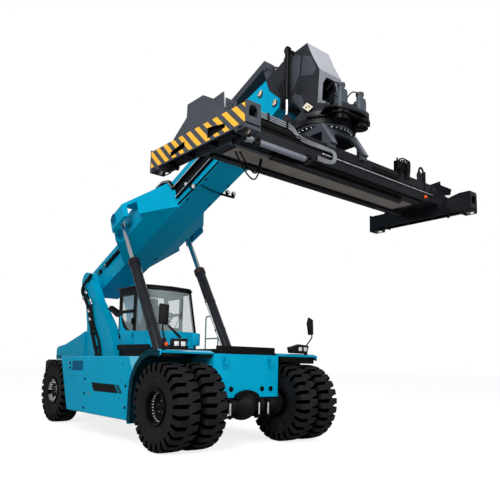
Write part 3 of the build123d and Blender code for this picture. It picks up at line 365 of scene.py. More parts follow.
# The same cyan a little darker on the boom's plates, as painted shade.
shaded_boom_cyan = enamel("cyan enamel darkened as painted shade on the boom", "#0099BE", "#00A1C7", 0.3, gloss=0.05)
# Half-gloss charcoal enamel on nose and rotator.
charcoal = enamel("charcoal enamel", "#202227", "#2A2C32", 0.32, coat=0.05, gloss=0.15)
# Flatter charcoal on the spreader, greyed by weather.
slate = enamel("slate grey enamel", "#363A41", "#42464E", 0.4, gloss=0.15)
iron_grey = enamel("dark iron grey enamel", "#121317", "#1A1B20", 0.32, gloss=0.15)
# Satin black on cab, rails and small fittings.
soot = enamel("black enamel", "#050506", "#0B0B0D", 0.34, gloss=0.1)
# The lift cylinders are black too, with a wet gloss.
lift_black = enamel("glossy black enamel", "#1B1C21", "#24252B", 0.22, coat=0.1, gloss=0.2)
# Inside an arch the cyan is darkened to deep teal, as painted shade.
arch_shade_teal = enamel("teal painted as shade inside the arches", "#002A36", "#003644", 0.5, gloss=0.08)
# Handrails are sprayed thinly over grey primer.
rail_teal = enamel("grey-green enamel on handrails", "#55807E", "#648E8B", 0.4, gloss=0.2)
gearbox_grey = enamel("blue-grey gearbox enamel", "#363F46", "#424C54", 0.4, gloss=0.2)
# On the nose's folds the greys are painted reflection of the sky on its dark
# paint, paler on the upper folds. The pipe's grey is plain, and the primer shows
# where paint is left off.
pale = enamel("grey painted as sky reflection on the nose", "#A3A6AC", "#AEB1B6", 0.38, coat=0.1)
nose_dim_reflection_grey = enamel("grey painted as dim sky reflection on the nose", "#787B81", "#84878D", 0.38, coat=0.1)
tube_grey = enamel("grey enamel on a pipe", "#62656E", "#70737C", 0.3, coat=0.2)
primer = enamel("brown grey primer", "#857B74", "#948A82", 0.7)
rim_black = enamel("black rim enamel", "#060607", "#0D0D0E", 0.34, gloss=0.12)
dark_blue = enamel("dark blue enamel", "#045378", "#055C84", 0.4, gloss=0.05)
print("enamels made")

# %% [markdown]
# Bare metal mirrors the sky, and its roughness tells how it was made: chrome is
# ground and polished, zinc is dull, turned steel keeps its grooves. The enamel's
# shader serves for all of them with metallic at one, since oil and handling
# mottle metal much as weather does paint.

# %% Castings, bare steel and chrome
# Cast iron under black paint keeps the grain of its sand mould.
casting = enamel("painted sand casting", "#0A0A0C", "#141416", 0.5, grain=0.012, depth=0.0008,
                 gloss=0.15)


def bright(name, low, high, roughness, size, depth):
    """Bare metal: full metallic, a little mottled by oil and handling."""
    return enamel(name, low, high, roughness, patch=0.12, metallic=1.0, grain=size, depth=depth)


# Nuts are dull bright plating, so they are only partly metallic to the eye.
plated = enamel("bright plated nuts", "#CFD2D4", "#E4E6E8", 0.32, patch=0.02, metallic=0.35)
zinc = bright("zinc plated steel", "#B9BBBD", "#D2D3D4", 0.3, 0.002, 0.00002)
chrome = bright("hard chrome on a piston rod", "#DADCDE", "#E6E7E8", 0.12, 0.05, 0.00001)
turned_steel = bright("worn machined steel", "#8C857B", "#A9A297", 0.36, 0.003, 0.00005)
chequer = bright("galvanised chequer plate", "#8D9091", "#A6A8A9", 0.45, 0.018, 0.0015)
print("metals made")

# %% [markdown]
# Rubber and moulded plastic are dark, with hardly any gloss. Cloth is rough as
# well, but its threads catch light from the side. A sheen gives that, and two
# crossed waves break it up into threads.

# %% Rubber, plastic and cloth
def rubber(name, low, high, roughness, size, depth):
    """Black rubber, a little dusty: no gloss, and a faint moulded grain."""
    return enamel(name, low, high, roughness, patch=0.25, grain=size, depth=depth, gloss=0.12)


tyre_rubber = rubber("tyre rubber", "#161516", "#1F1E20", 0.6, 0.006, 0.0004)
# In the tread's notches the rubber is painted near black, as shade where hardly any light comes
# in.
notch_shade_rubber = enamel("rubber darkened as painted shade in the notches", "#010101", "#030303", 0.9, gloss=0.0)
hose_rubber = rubber("hydraulic hose rubber", "#08080A", "#121214", 0.45, 0.003, 0.0003)
grey_tube = rubber("grey nylon conduit", "#74767C", "#888A90", 0.42, 0.004, 0.0002)
moulded = rubber("moulded ABS", "#0A0B0C", "#121315", 0.42, 0.0015, 0.00008)
amber = enamel("amber polycarbonate", "#E0480A", "#EC5A12", 0.2, patch=0.05)
lens = enamel("frosted lamp lens", "#C9CCCE", "#DFE1E2", 0.15, patch=0.02, coat=0.5)
cream = enamel("yellow passivated steel", "#E4DBC0", "#EEE6CE", 0.35, patch=0.04)


def woven(name, low, high, pitch):
    """Seat cloth: two waves at a thread's pitch cross and catch the light."""
    finish = enamel(name, low, high, 0.85, patch=0.05)
    tree = finish.node_tree
    shader = tree.nodes["Principled BSDF"]
    place = tree.nodes["Texture Coordinate"]
    waves = [add(tree, "TexWave", {"bands_direction": way, "Scale": 1 / pitch / 6.28},
                 Vector=place.outputs["Object"]) for way in ("X", "Z")]
    weave = add(tree, "Math", {"operation": "ADD"}, _0=waves[0].outputs[1],
                _1=waves[1].outputs[1])
    bump = add(tree, "Bump", {"Distance": 0.0006}, Height=weave.outputs[0])
    tree.links.new(bump.outputs[0], shader.inputs["Normal"])
    shader.inputs["Sheen Weight"].default_value = 0.3
    return finish


# Threads 1 mm apart wouldn't show, so the weave is drawn 6 mm apart.
seat_cloth = woven("woven seat cloth", "#16171A", "#212328", 0.006)
print("rubbers, plastics and cloth made")

# %% [markdown]
# Cab panes are toughened glass, a little grey-green. True refraction through
# a thin pane costs time and shows nothing, so the panes are mostly clear and
# keep their mirror gloss.

# %% Safety glass
def safety_glass():
    """Toughened, slightly grey-green glass that mirrors the sky."""
    finish = bpy.data.materials.new("tinted safety glass")
    finish.use_nodes = True
    tree = finish.node_tree
    shader = tree.nodes["Principled BSDF"]
    colour, place, level = weathered(tree, "#C4D2D4", "#D2DEDF", 0.8)
    film = add(tree, "MapRange", {"To Min": 0.02, "To Max": 0.06}, Value=level.outputs[0])
    shader.inputs["Alpha"].default_value = 0.2
    shader.inputs["IOR"].default_value = 1.5
    tree.links.new(colour.outputs[2], shader.inputs["Base Color"])
    tree.links.new(film.outputs[0], shader.inputs["Roughness"])
    return finish


glass = safety_glass()

# %% [markdown]
# ## Hazard stripes
# The outer face of each end beam is painted with slanting yellow bars on grey.
# On a real machine they are masked and sprayed, so they are flat colour with
# crisp edges. A sum of the Y and Z coordinates, wrapped by a modulo, gives the
# bars, and the faces that don't look outwards keep the plain grey.

# %% A striped finish
STRIPE_PITCH = 0.222
STRIPE_WIDTH = 0.112
STRIPE_SLOPE = 1.05
END_BEAM_Z = (4.8, 5.11)
END_BEAM_FACE = 3.0565


def striped(name, side, body):
    """Yellow bars on iron grey, only on the outer face of one end beam."""
    finish = enamel(name, *body)
    tree = finish.node_tree
    shader = tree.nodes["Principled BSDF"]
    base = shader.inputs["Base Color"].links[0].from_socket
    place = tree.nodes["Texture Coordinate"]
    spot = add(tree, "SeparateXYZ", Vector=place.outputs["Object"])
    slant = add(tree, "Math", {"operation": "MULTIPLY_ADD", 1: -STRIPE_SLOPE},
                _0=spot.outputs["Z"], _2=spot.outputs["Y"])
    wrap = add(tree, "Math", {"operation": "FLOORED_MODULO", 1: STRIPE_PITCH},
               _0=slant.outputs[0])
    bar = add(tree, "Math", {"operation": "LESS_THAN", 1: STRIPE_WIDTH},
              _0=wrap.outputs[0])
    limits = [add(tree, "Math", {"operation": "GREATER_THAN", 1: END_BEAM_FACE - 0.003},
                  _0=add(tree, "Math", {"operation": "MULTIPLY", 1: side},
                         _0=spot.outputs["X"]).outputs[0]),
              add(tree, "Math", {"operation": "GREATER_THAN", 1: END_BEAM_Z[0] + 0.016},
                  _0=spot.outputs["Z"]),
              add(tree, "Math", {"operation": "LESS_THAN", 1: END_BEAM_Z[1] - 0.004},
                  _0=spot.outputs["Z"])]
    shown = bar
    for limit in limits:
        shown = add(tree, "Math", {"operation": "MULTIPLY"}, _0=shown.outputs[0],
                    _1=limit.outputs[0])
    mix = add(tree, "Mix", {"data_type": "RGBA", 7: linear("#F2B233")},
              _0=shown.outputs[0], _6=base)
    tree.links.new(mix.outputs[2], shader.inputs["Base Color"])
    return finish


stripes_right = striped("hazard stripes on slate enamel", -1, ("#363A41", "#42464E", 0.4))
stripes_left = striped("hazard stripes on iron grey enamel", 1, ("#121317", "#1A1B20", 0.32))
print("stripes", STRIPE_PITCH, "m apart")

# %% [markdown]
# ## Dress the CAD pieces
# The CAD shapes that are already right keep their mesh and take a finish.

# %% Finishes of the CAD pieces
CAD_FINISHES = {
    cyan: ("chassis_frame", "front_plate", "front_fenders", "side_tanks", "engine_hood",
           "cab_body"),
    shaded_boom_cyan: ("outer_boom", "inner_boom"),
    casting: ("drive_axle", "steer_axle", "steering_knuckle_left", "steering_knuckle_right",
              "engine_block"),
    soot: ("lift_valves", "cab_slide_rails", "cab_frame", "cab_roof", "cab_door_left",
           "cab_door_right", "hose_track", "damper_barrels", "counterweight"),
    lift_black: ("lift_barrels",),
    charcoal: ("boom_nose", "rotator_housing"),
    slate: ("hose_tray", "centre_frame"),
    iron_grey: ("spreader_frame", "spread_cylinders", "slew_ring"),
    stripes_left: ("end_beam_left",),
    stripes_right: ("end_beam_right",),
    gearbox_grey: ("slew_motors",),
    chrome: ("lift_rods", "damper_rods"),
    turned_steel: ("twistlock_front_left", "twistlock_front_right",
                   "twistlock_rear_left", "twistlock_rear_right"),
    chequer: ("walkways",),
    rim_black: ("front_rims_left", "front_rims_right", "rear_rim_left", "rear_rim_right"),
    tyre_rubber: ("front_tyres_left", "front_tyres_right", "rear_tyre_left",
                  "rear_tyre_right"),
    moulded: ("fender_lamps", "mirrors", "steering_console"),
    seat_cloth: ("operator_seat",),
    glass: ("windscreen", "cab_glass", "door_glass_left", "door_glass_right"),
}
for finish, names in CAD_FINISHES.items():
    for name in names:
        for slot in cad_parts[name].material_slots:
            slot.material = finish
print("dressed", sum(len(names) for names in CAD_FINISHES.values()), "CAD pieces")

# %% [markdown]
# ## Tyres
# A port tyre has a smooth middle and deep wedge shaped notches at both
# shoulders. One pitch of the tread is spun from the tyre's section in ten
# steps. Four of the steps are pushed in as a notch, whose lower edge slants
# toward the middle. The pitch is then spun round the wheel, lug after lug.

# %% Sizes of the tread
LUGS = 26
STEPS = 10
NOTCH_STEPS = 4
NOTCH_DEEP = 96
NOTCH_FOOT = 645
CROWN_HALF = 40
# Half of the section, as X from the middle and radius, from the bead to the crown.
SECTION = ((188, 320), (204, 345), (222, 400), (238, 455), (247, 520), (243, 532), (250, 545),
           (250, 640), (249, 690), (247, 745), (238, 786), (222, 806), (180, 815), (130, 818),
           (84, 819), (40, 820), (0, 820))

# %% [markdown]
# A bump in the material would be cheaper, but the tyre's outline would stay
# smooth. So the notches are real: faces are extruded toward the tyre's core,
# and are turned back more at the shoulder than at the crown, which gives the
# hooked lugs.

# %% One pitch of the tread
def tread_pitch(bm, x_middle, y):
    """One lug's share of a tyre, with a notch in each shoulder."""
    half = list(SECTION)
    loop = [(-x, r) for x, r in half[:-1]] + half[::-1]
    verts = [bm.verts.new((x_middle + x, y, TYRE_R + r)) for x, r in loop]
    edges = [bm.edges.new(pair) for pair in zip(verts, verts[1:] + verts[:1])]
    step = 2 * pi / LUGS / STEPS
    hub = Vector((x_middle, y, TYRE_R))
    bmesh.ops.spin(bm, geom=verts + edges, cent=hub, axis=(1, 0, 0), angle=step * STEPS,
                   steps=STEPS)

    def column(spot):
        return atan2(-(spot - hub).y, (spot - hub).z) / step

    for side, first in ((-1, 0), (1, STEPS // 2)):
        notch = [f for f in bm.faces
                 if side * (f.calc_center_median() - hub).x > CROWN_HALF
                 and (f.calc_center_median() - hub).yz.length > NOTCH_FOOT
                 and first < column(f.calc_center_median()) < first + NOTCH_STEPS]
        rim = {v for f in notch for v in f.verts}
        for vert in rim:
            spot = vert.co - hub
            late = first + NOTCH_STEPS - column(vert.co)
            share = 1 - 0.75 * (1 - min(1, max(0, side * spot.x - CROWN_HALF) / 150))
            bmesh.ops.rotate(bm, verts=[vert], cent=hub,
                             matrix=Matrix.Rotation(step * late * (1 - share), 3, "X"))
        grown = bmesh.ops.extrude_face_region(bm, geom=notch)["geom"]
        bmesh.ops.delete(bm, geom=notch, context="FACES")
        for vert in [g for g in grown if isinstance(g, bmesh.types.BMVert)]:
            spot = vert.co - hub
            outward = Vector((0, spot.y, spot.z)).normalized()
            core = hub + outward * 560 + Vector((side * 92, 0, 0))
            deep = NOTCH_DEEP * (0.4 if side * spot.x < 50 else 1)
            vert.co += (core - vert.co).normalized() * deep
            # The notch's faces take the second finish, a painted shade.
            for face in vert.link_faces:
                face.material_index = 1

# %% [markdown]
# The pitch is copied round the axle and its seams are joined, so a tyre is one
# closed skin. That is done in a mesh of its own, where no seam can be welded to
# the twin beside it.

# %% A whole tyre
def tyre(bm, x_middle, y):
    """A whole tyre from its pitches."""
    part = bmesh.new()
    tread_pitch(part, x_middle, y)
    bmesh.ops.spin(part, geom=part.verts[:] + part.edges[:] + part.faces[:],
                   cent=(x_middle, y, TYRE_R), axis=(1, 0, 0), angle=2 * pi * (LUGS - 1) / LUGS,
                   steps=LUGS - 1, use_duplicate=True)
    bmesh.ops.remove_doubles(part, verts=part.verts, dist=0.5)
    ready = bpy.data.meshes.new("tyre")
    part.to_mesh(ready)
    part.free()
    bm.from_mesh(ready)
    bpy.data.meshes.remove(ready)

# %% [markdown]
# The drive axle carries two tyres a side on one hub, the steered axle one. They
# are all one size, so the same pitch serves for the six.

# %% Six tyres
TWIN_X = (1800, 1193)
REAR_X = 1388
for side, word in ((-1, "right"), (1, "left")):
    bm = bmesh.new()
    for x in TWIN_X:
        tyre(bm, side * x, 0)
    settle(bm, f"front_tread_{word}", tyre_rubber, f"front_wheels_{word}",
           replaces=(f"front_tyres_{word}",), second=notch_shade_rubber)
    bm = bmesh.new()
    tyre(bm, side * REAR_X, WHEELBASE)
    settle(bm, f"rear_tread_{word}", tyre_rubber, f"rear_wheel_{word}",
           replaces=(f"rear_tyre_{word}",), second=notch_shade_rubber)

# %% [markdown]
# ## Wheel nuts and rims
# The rims are deep black dishes. The drive wheels show one ring of bright nuts
# round a black drum. The steered wheels show five groups of bright clamps near
# the outer face. A nut is a six sided rod with its stud.

# %% Nuts, drums and lips
def nut(bm, x, way, y, ring, across, turn=0.0):
    """One nut with its stud on a wheel's face at x, facing along way."""
    top = Vector((x, y + ring * sin(turn), TYRE_R + ring * cos(turn)))
    made = list(rod(bm, top, top + Vector((way * across * 0.8, 0, 0)), across * 0.58, sides=6))
    made += rod(bm, top, top + Vector((way * across * 1.4, 0, 0)), across * 0.28, sides=8)
    return made


def turned(bm, outline, y, steps=64):
    """A ring or a cap, spun full circle about an axle from points of x and radius."""
    verts = [bm.verts.new((x, y, TYRE_R + r)) for x, r in outline]
    edges = [bm.edges.new(pair) for pair in zip(verts, verts[1:])]
    bmesh.ops.spin(bm, geom=verts + edges, cent=(0, y, TYRE_R), axis=(1, 0, 0), angle=2 * pi,
                   steps=steps, use_merge=True)
    bmesh.ops.remove_doubles(bm, verts=bm.verts, dist=0.01)

# %% [markdown]
# A front rim is one deep dish. Its outline runs from the middle over the hub's
# drum, out along the barrel to the lip, and back inside. Spun about the axle it
# needs no joints. A rear rim shows its disc, its hub cap and its lip.

# %% Rims
# The dish from the middle of its outer face, round the lip, and back inside.
DISH = ((1880, 0.01), (1886, 60), (1886, 140), (1873, 150), (1873, 240), (1896, 250), (1896, 292),
        (2010, 292), (2034, 300), (2046, 330), (2040, 336), (2020, 317), (963, 317), (963, 290),
        (1755, 290), (1755, 0.01))
# The steered wheel's disc, hub cap and lip.
REAR_RINGS = (((1452, 287), (1562, 287), (1562, 172), (1538, 160)),
              ((1537, 128), (1572, 118), (1584, 100), (1584, 30), (1590, 0.01)),
              ((1590, 289), (1614, 291), (1626, 305), (1626, 320), (1612, 332), (1594, 334)))
for side, word in ((-1, "right"), (1, "left")):
    bm = bmesh.new()
    for x, ring, across, count in ((1896, 272, 24, 30), (1886, 112, 12, 5)):
        round_and_round(bm, nut(bm, side * x, side, 0, ring, across), (0, 0, TYRE_R), (1, 0, 0),
                        count)
    settle(bm, f"front_wheel_nuts_{word}", plated, f"front_wheels_{word}")
    bm = bmesh.new()
    turned(bm, [(side * x, r) for x, r in DISH], 0)
    settle(bm, f"front_rim_dish_{word}", rim_black, f"front_wheels_{word}",
           replaces=(f"front_rims_{word}",))
    bm = bmesh.new()
    group = []
    for ring, turns in ((286, (-0.46, -0.24, -0.02, 0.2)), (228, (-0.38, -0.1, 0.18))):
        for turn in turns:
            group += nut(bm, side * 1562, side, WHEELBASE, ring, 42, turn)
    round_and_round(bm, group, (0, WHEELBASE, TYRE_R), (1, 0, 0), 5)
    settle(bm, f"rear_wheel_clamps_{word}", plated, f"rear_wheel_{word}")
    bm = bmesh.new()
    for outline in REAR_RINGS:
        turned(bm, [(side * x, r) for x, r in outline], WHEELBASE)
    settle(bm, f"rear_rim_trim_{word}", rim_black, f"rear_wheel_{word}")

# %% [markdown]
# ## Spreader
# The end beams carry a plate with an arched opening at their front ends, a
# corner block with a slot, and a lever for the twistlock. Hoses lie along the
# front of the main frame and turn down into a loop, clear of the sliding claws.
# A grey tube hangs below on black clamps, and a bright strip along the lower
# edge is a painted highlight.

# %% Plates with holes
def holed(bm, outline, holes, push):
    """A plate with holes: its loops are filled between, then made thick."""
    edges = []
    for loop in [outline] + holes:
        verts = [bm.verts.new(c) for c in loop]
        edges += [bm.edges.new(pair) for pair in zip(verts, verts[1:] + verts[:1])]
    filled = bmesh.ops.triangle_fill(bm, use_beauty=True, edges=edges)["geom"]
    faces = [g for g in filled if isinstance(g, bmesh.types.BMFace)]
    grown = bmesh.ops.extrude_face_region(bm, geom=faces)["geom"]
    bmesh.ops.translate(bm, vec=push, verts=[g for g in grown
                                             if isinstance(g, bmesh.types.BMVert)])


def bow(u, v, radius, start, end, count=12):
    """Points of an arc in a plane, between two angles in degrees."""
    return [(u + radius * cos(radians(start + (end - start) * i / count)),
             v + radius * sin(radians(start + (end - start) * i / count)))
            for i in range(count + 1)]

# %% [markdown]
# The end beams stand at the corners of a container. Their plates are flame cut,
# so an arch or a slot is a loop inside the outline that is filled between. A
# boolean would cut it from a solid, and could leave stray edges behind.

# %% Where the end beams stand
# Containers put the twistlocks 2259 mm apart; the beams reach a little past them.
BEAM_X = 2926.5
LOCK_HALF = 1129.5
FRONT_END = SLEW_Y - 1235
REAR_END = SLEW_Y + 1235

# %% End beams
for side, word, finish in ((-1, "right", slate), (1, "left", iron_grey)):
    x = SPREADER_X + side * BEAM_X
    bm = bmesh.new()
    arch = [(x - 78, 4880), (x + 78, 4880)] + bow(x, 5012, 78, 0, 180)
    for y, push in ((FRONT_END + 14, -26), (REAR_END - 14, 26)):
        holed(bm, [(x - 132, y, 4800), (x + 132, y, 4800), (x + 132, y, 5136),
                   (x - 132, y, 5136)], [[(u, y, v) for u, v in arch]], (0, push, 0))
    for y0, y1 in ((FRONT_END - 12, FRONT_END + 235), (REAR_END - 235, REAR_END + 12)):
        middle_y = (y0 + y1) / 2
        for face in (x - 132, x + 118):
            holed(bm, [(face, y0, 4748), (face, y1, 4748), (face, y1, 4830), (face, y0, 4830)],
                  [[(face, middle_y - 62, 4768), (face, middle_y + 62, 4768),
                    (face, middle_y + 62, 4812), (face, middle_y - 62, 4812)]], (14, 0, 0))
        box(bm, x - 118, x + 118, y0, y0 + 12, 4748, 4830)
        box(bm, x - 118, x + 118, y1 - 12, y1, 4748, 4830)
    soften(bm, 3, 1)
    settle(bm, f"beam_end_plates_{word}", finish, f"spreader_end_{word}")
    bm = bmesh.new()
    for end in (-1, 1):
        lock_y = SLEW_Y + end * LOCK_HALF
        box(bm, x - side * 50, x - side * 112, lock_y - end * 420, lock_y - end * 110, 4752, 4776)
        rod(bm, (x - side * 80, lock_y - end * 400, 4720),
            (x - side * 80, lock_y - end * 400, 4800), 26)
        box(bm, x - 60, x + 60, lock_y - end * 330, lock_y - end * 170, 4960, 5040)
        rod(bm, (x, lock_y - end * 60, 5000), (x, lock_y - end * 330, 5000), 24)
    for far in (-830, -300, 300, 830):
        y = SLEW_Y + far
        box(bm, x - 112, x + 112, y - 8, y + 8, 4812, 4900)
    box(bm, x + side * 70, x + side * 82, SLEW_Y - 860, SLEW_Y + 860, 4812, 5090)
    soften(bm, 3, 1)
    settle(bm, f"lock_levers_{word}", soot, f"spreader_end_{word}")
    bm = bmesh.new()
    lug = [(SLEW_Y - 260, 5540), (SLEW_Y - 530, 5565), (SLEW_Y - 556, 5255), (SLEW_Y - 270, 5300)]
    plate(bm, [(x - side * 20, y, z) for y, z in lug], (-side * 20, 0, 0))
    low = [(SLEW_Y - 540, 5480), (SLEW_Y - 800, 5320), (SLEW_Y - 770, 5200), (SLEW_Y - 540, 5240)]
    plate(bm, [(x - side * 50, y, z) for y, z in low], (-side * 16, 0, 0))
    for y, z in ((-640, 5350), (-720, 5300), (-650, 5280)):
        rod(bm, (x - side * 66, SLEW_Y + y, z), (x - side * 30, SLEW_Y + y, z), 14, sides=6)
    box(bm, x - side * 20, x - side * 110, SLEW_Y - 300, SLEW_Y - 270, 5110, 5520)
    box(bm, x - side * 20, x - side * 110, SLEW_Y + 330, SLEW_Y + 360, 5110, 5470)
    soften(bm, 3, 1)
    settle(bm, f"upright_brackets_{word}", finish, f"spreader_end_{word}")

# %% [markdown]
# What shows of the main frame hangs on its front face, so places are written
# from that face. The hoses of the side shift lie along the top, drop before the
# sliding claws, and end in a loop.

# %% Main frame: hoses, tube and edge highlights
FRAME_FACE = SLEW_Y - 560
x0, x1 = SPREADER_X - 2500, SPREADER_X + 2500
lines = [[(x0 - 30, FRAME_FACE - 22, 5374 + 36 * i), (-1500, FRAME_FACE - 24, 5370 + 36 * i),
          (-1330, FRAME_FACE - 24, 5350 + 34 * i), (-1210, FRAME_FACE - 24, 5226 + 28 * i),
          (-580 + 20 * i, FRAME_FACE - 44, 5224 + 24 * i),
          (-400 + 26 * i, FRAME_FACE - 62, 5230 + 16 * i),
          (-390 + 26 * i, FRAME_FACE - 62, 5090 - 10 * i),
          (-520, FRAME_FACE - 50, 5048 - 26 * i),
          (-760, FRAME_FACE - 34, 5076 - 30 * i)] for i in range(3)]
hose("frame_hoses", lines, 27, grey_tube, "spreader")
lines = [[(-2250, FRAME_FACE - 30, 5250 + 34 * i), (-1550, FRAME_FACE - 26, 5250 + 34 * i),
          (-750, FRAME_FACE - 30, 5246 + 34 * i)] for i in range(2)]
lines += [[(760, FRAME_FACE - 14, 5226 + 28 * i), (1160, FRAME_FACE - 26, 5226 + 28 * i),
           (1560, FRAME_FACE - 26, 5226 + 26 * i), (1590 + 30 * i, FRAME_FACE - 40, 5330),
           (1600 + 30 * i, FRAME_FACE - 12, 5440)] for i in range(3)]
lines += [[(1560 + 60 * i, FRAME_FACE - 30, 5640 - 40 * i), (1700 + 60 * i, FRAME_FACE - 60, 5700),
           (1820 + 40 * i, FRAME_FACE - 40, 5560), (1800 + 30 * i, FRAME_FACE - 30, 5300)]
          for i in range(3)]
lines += [[(-2050, -2200, 5000), (-1900, -2250, 4700), (-1740, -2300, 4540),
           (-1590, -2260, 4700), (-1480, -2200, 5000)],
          [(-1990, -2240, 5000), (-1870, -2290, 4780), (-1730, -2330, 4640),
           (-1620, -2290, 4780), (-1540, -2240, 5000)]]
hose("spreader_hoses", lines, 26, hose_rubber, "spreader")

# %% [markdown]
# A grey tube carries oil below the frame, in two black clamps. Brackets, a
# valve box and cover strips are bolted to the face beside it. Bevelled boxes
# and rods are enough, since each is only a few centimetres across.

# %% Tube, clamps and brackets
bm = bmesh.new()
rod(bm, (-2330, FRAME_FACE - 20, 4958), (-1020, FRAME_FACE - 20, 4958), 50, sides=32)
rod(bm, (-2330, FRAME_FACE - 20, 4958), (-2260, FRAME_FACE - 20, 4958), 60, sides=32)
settle(bm, "frame_tube", tube_grey, "spreader")
bm = bmesh.new()
for x in (-2180, -1060):
    box(bm, x, x + 110, FRAME_FACE - 90, FRAME_FACE + 30, 4890, 5024)
    rod(bm, (x + 55, FRAME_FACE - 95, 4958), (x + 55, FRAME_FACE - 130, 4958), 20)
for x in (-2250, -1900, -1500):
    box(bm, x, x + 46, FRAME_FACE - 42, FRAME_FACE, 5350, 5474)
box(bm, -860, -814, FRAME_FACE - 42, FRAME_FACE, 5205, 5296)
box(bm, -2300, -1250, FRAME_FACE - 12, FRAME_FACE, 5225, 5345)
box(bm, x0 + 60, x1 - 60, FRAME_FACE - 14, FRAME_FACE, 5190, 5215)
for y in (SLEW_Y - 420, SLEW_Y + 420):
    box(bm, x0 + 100, x1 - 200, y - 60, y + 60, 4985, 5012)
box(bm, 1520, 1850, FRAME_FACE - 10, FRAME_FACE + 90, 5380, 5620)
for i in range(4):
    rod(bm, (1560 + 78 * i, FRAME_FACE - 10, 5430 + 40 * (i % 2)),
        (1560 + 78 * i, FRAME_FACE - 60, 5430 + 40 * (i % 2)), 24)
    rod(bm, (1560 + 78 * i, FRAME_FACE + 30, 5618), (1560 + 78 * i, FRAME_FACE + 30, 5680), 18)
soften(bm, 4, 1)
settle(bm, "frame_fittings", soot, "spreader")

# %% [markdown]
# Bright zinc strips along the lower front edge and the rear underside are
# painted highlights on the frame's edges. Between the two tubes of the frame
# the belly plate is left in its primer.

# %% Edge highlights and belly plate
bm = bmesh.new()
box(bm, -640, x1, FRAME_FACE - 30, FRAME_FACE - 8, 5148, 5170)
box(bm, 300, x1 - 260, SLEW_Y + 352, SLEW_Y + 372, 4984, 5002)
soften(bm, 3, 1)
settle(bm, "frame_edge_highlights", zinc, "spreader")
bm = bmesh.new()
box(bm, x0 + 180, x1 - 240, SLEW_Y - 235, SLEW_Y + 235, 4986, 5008)
soften(bm, 3, 1)
settle(bm, "frame_belly", primer, "spreader")

# %% [markdown]
# A hook plate with a round eye stands at the far end of the frame, and an amber
# lamp below it shows that the twistlocks are seated.

# %% Lifting eye and lamp
bm = bmesh.new()
eye = [(u, FRAME_FACE + 20, v) for u, v in bow(2380, 5610, 48, 0, 345, 15)]
shell = bow(2380, 5610, 88, 0, 180) + [(2230, 5500), (2250, 5385), (2478, 5385)]
holed(bm, [(u, FRAME_FACE + 20, v) for u, v in shell], [eye], (0, 26, 0))
plate(bm, [(x, FRAME_FACE - 18, z) for x, z in ((2450, 5180), (2478, 5180), (2472, 5600),
                                                (2440, 5600))], (0, 40, 0))
soften(bm, 3, 1)
settle(bm, "frame_lifting_eye", iron_grey, "spreader")
bm = bmesh.new()
rod(bm, (2420, FRAME_FACE - 20, 5066), (2420, FRAME_FACE - 62, 5066), 34, 26, sides=32)
soften(bm, 4)
settle(bm, "frame_lamp", amber, "spreader")

# %% [markdown]
# ## Boom nose and rotator
# Thin skins, painted pale grey as the sky's reflection on the dark nose, cover
# the three upper folds of its front. Its side has raised panels, and both bolts
# of the cyan cheeks have bright lock plates. The motors have caps and thin
# hoses. The slewing ring has teeth, a guard and a ring of bolts below.

# %% Skins of the nose
FOLDS = ((8450, 440, 9072, 276), (9072, 276, 9080, -95), (9080, -95, 9118, -447),
         (9118, -447, 8814, -1046))
bm = bmesh.new()
for s0, h0, s1, h1 in FOLDS[:3]:
    out = Vector((0, -(h0 - h1), s1 - s0)).normalized()
    plate(bm, [(-296, -s0, h0), (296, -s0, h0), (296, -s1, h1), (-296, -s1, h1)], out * 5)
soften(bm, 1.5, 1)
# Pale grey here is painted sky reflection on the charcoal nose.
settle(bm, "nose_reflection_skins", pale, "inner_boom_and_nose", BOOM)

# %% [markdown]
# The lowest fold has a port for the hoses with its corners cut off. It is a
# hole in the skin, so that the real hollow behind it shows. The skin here is a
# darker grey, a dimmer painted reflection.

# %% The lowest fold and its port
bm = bmesh.new()
s0, h0, s1, h1 = FOLDS[3]
out = Vector((0, -(h0 - h1), s1 - s0)).normalized()


def on_fold(x, h):
    """A point of the lowest fold at a height."""
    return (x, -(s1 + (s0 - s1) * (h - h1) / (h0 - h1)), h)


port = [on_fold(x, h) for x, h in ((-190, -925), (190, -925), (190, -640), (105, -522),
                                   (-105, -522), (-190, -640))]
holed(bm, [on_fold(-296, h0), on_fold(296, h0), on_fold(296, h1 + 30), on_fold(-296, h1 + 30)],
      [port], out * 5)
soften(bm, 1.5, 1)
# A darker grey: a dimmer painted reflection of the sky.
settle(bm, "nose_lower_reflection_skin", nose_dim_reflection_grey, "inner_boom_and_nose", BOOM)

# %% [markdown]
# The flanks of the nose are pressed in three fields. Thin raised plates give
# their edges, and discs cover the two pins that hold the nose to the boom.

# %% Side panels
NOSE_PINS = ((7712, 236), (7984, -256))
bm = bmesh.new()
PANELS = ([(8708, 366), (8859, 159), (8670, -176), (8393, -353), (8330, -120)],
          [(8900, 120), (9050, -60), (9060, -380), (8960, -440), (8700, -230)],
          [(8560, -560), (8570, -740), (8500, -900), (8430, -720), (8350, -430), (8440, -420)])
for panel in PANELS:
    for x, push in ((-294, -9), (294, 9)):
        plate(bm, [(x, -s, h) for s, h in panel], (push, 0, 0))
for s, h in NOSE_PINS:
    for side in (-1, 1):
        rod(bm, (side * 346, -s, h), (side * 368, -s, h), 74, sides=40)
box(bm, -306, 306, -8700, -8470, 400, 470)
soften(bm, 4)
settle(bm, "nose_side_panels", slate, "inner_boom_and_nose", BOOM)

# %% [markdown]
# A lock plate is a bar with two bolts that keeps a pin from turning. It is
# yellow passivated steel, the brightest spot on the black nose.

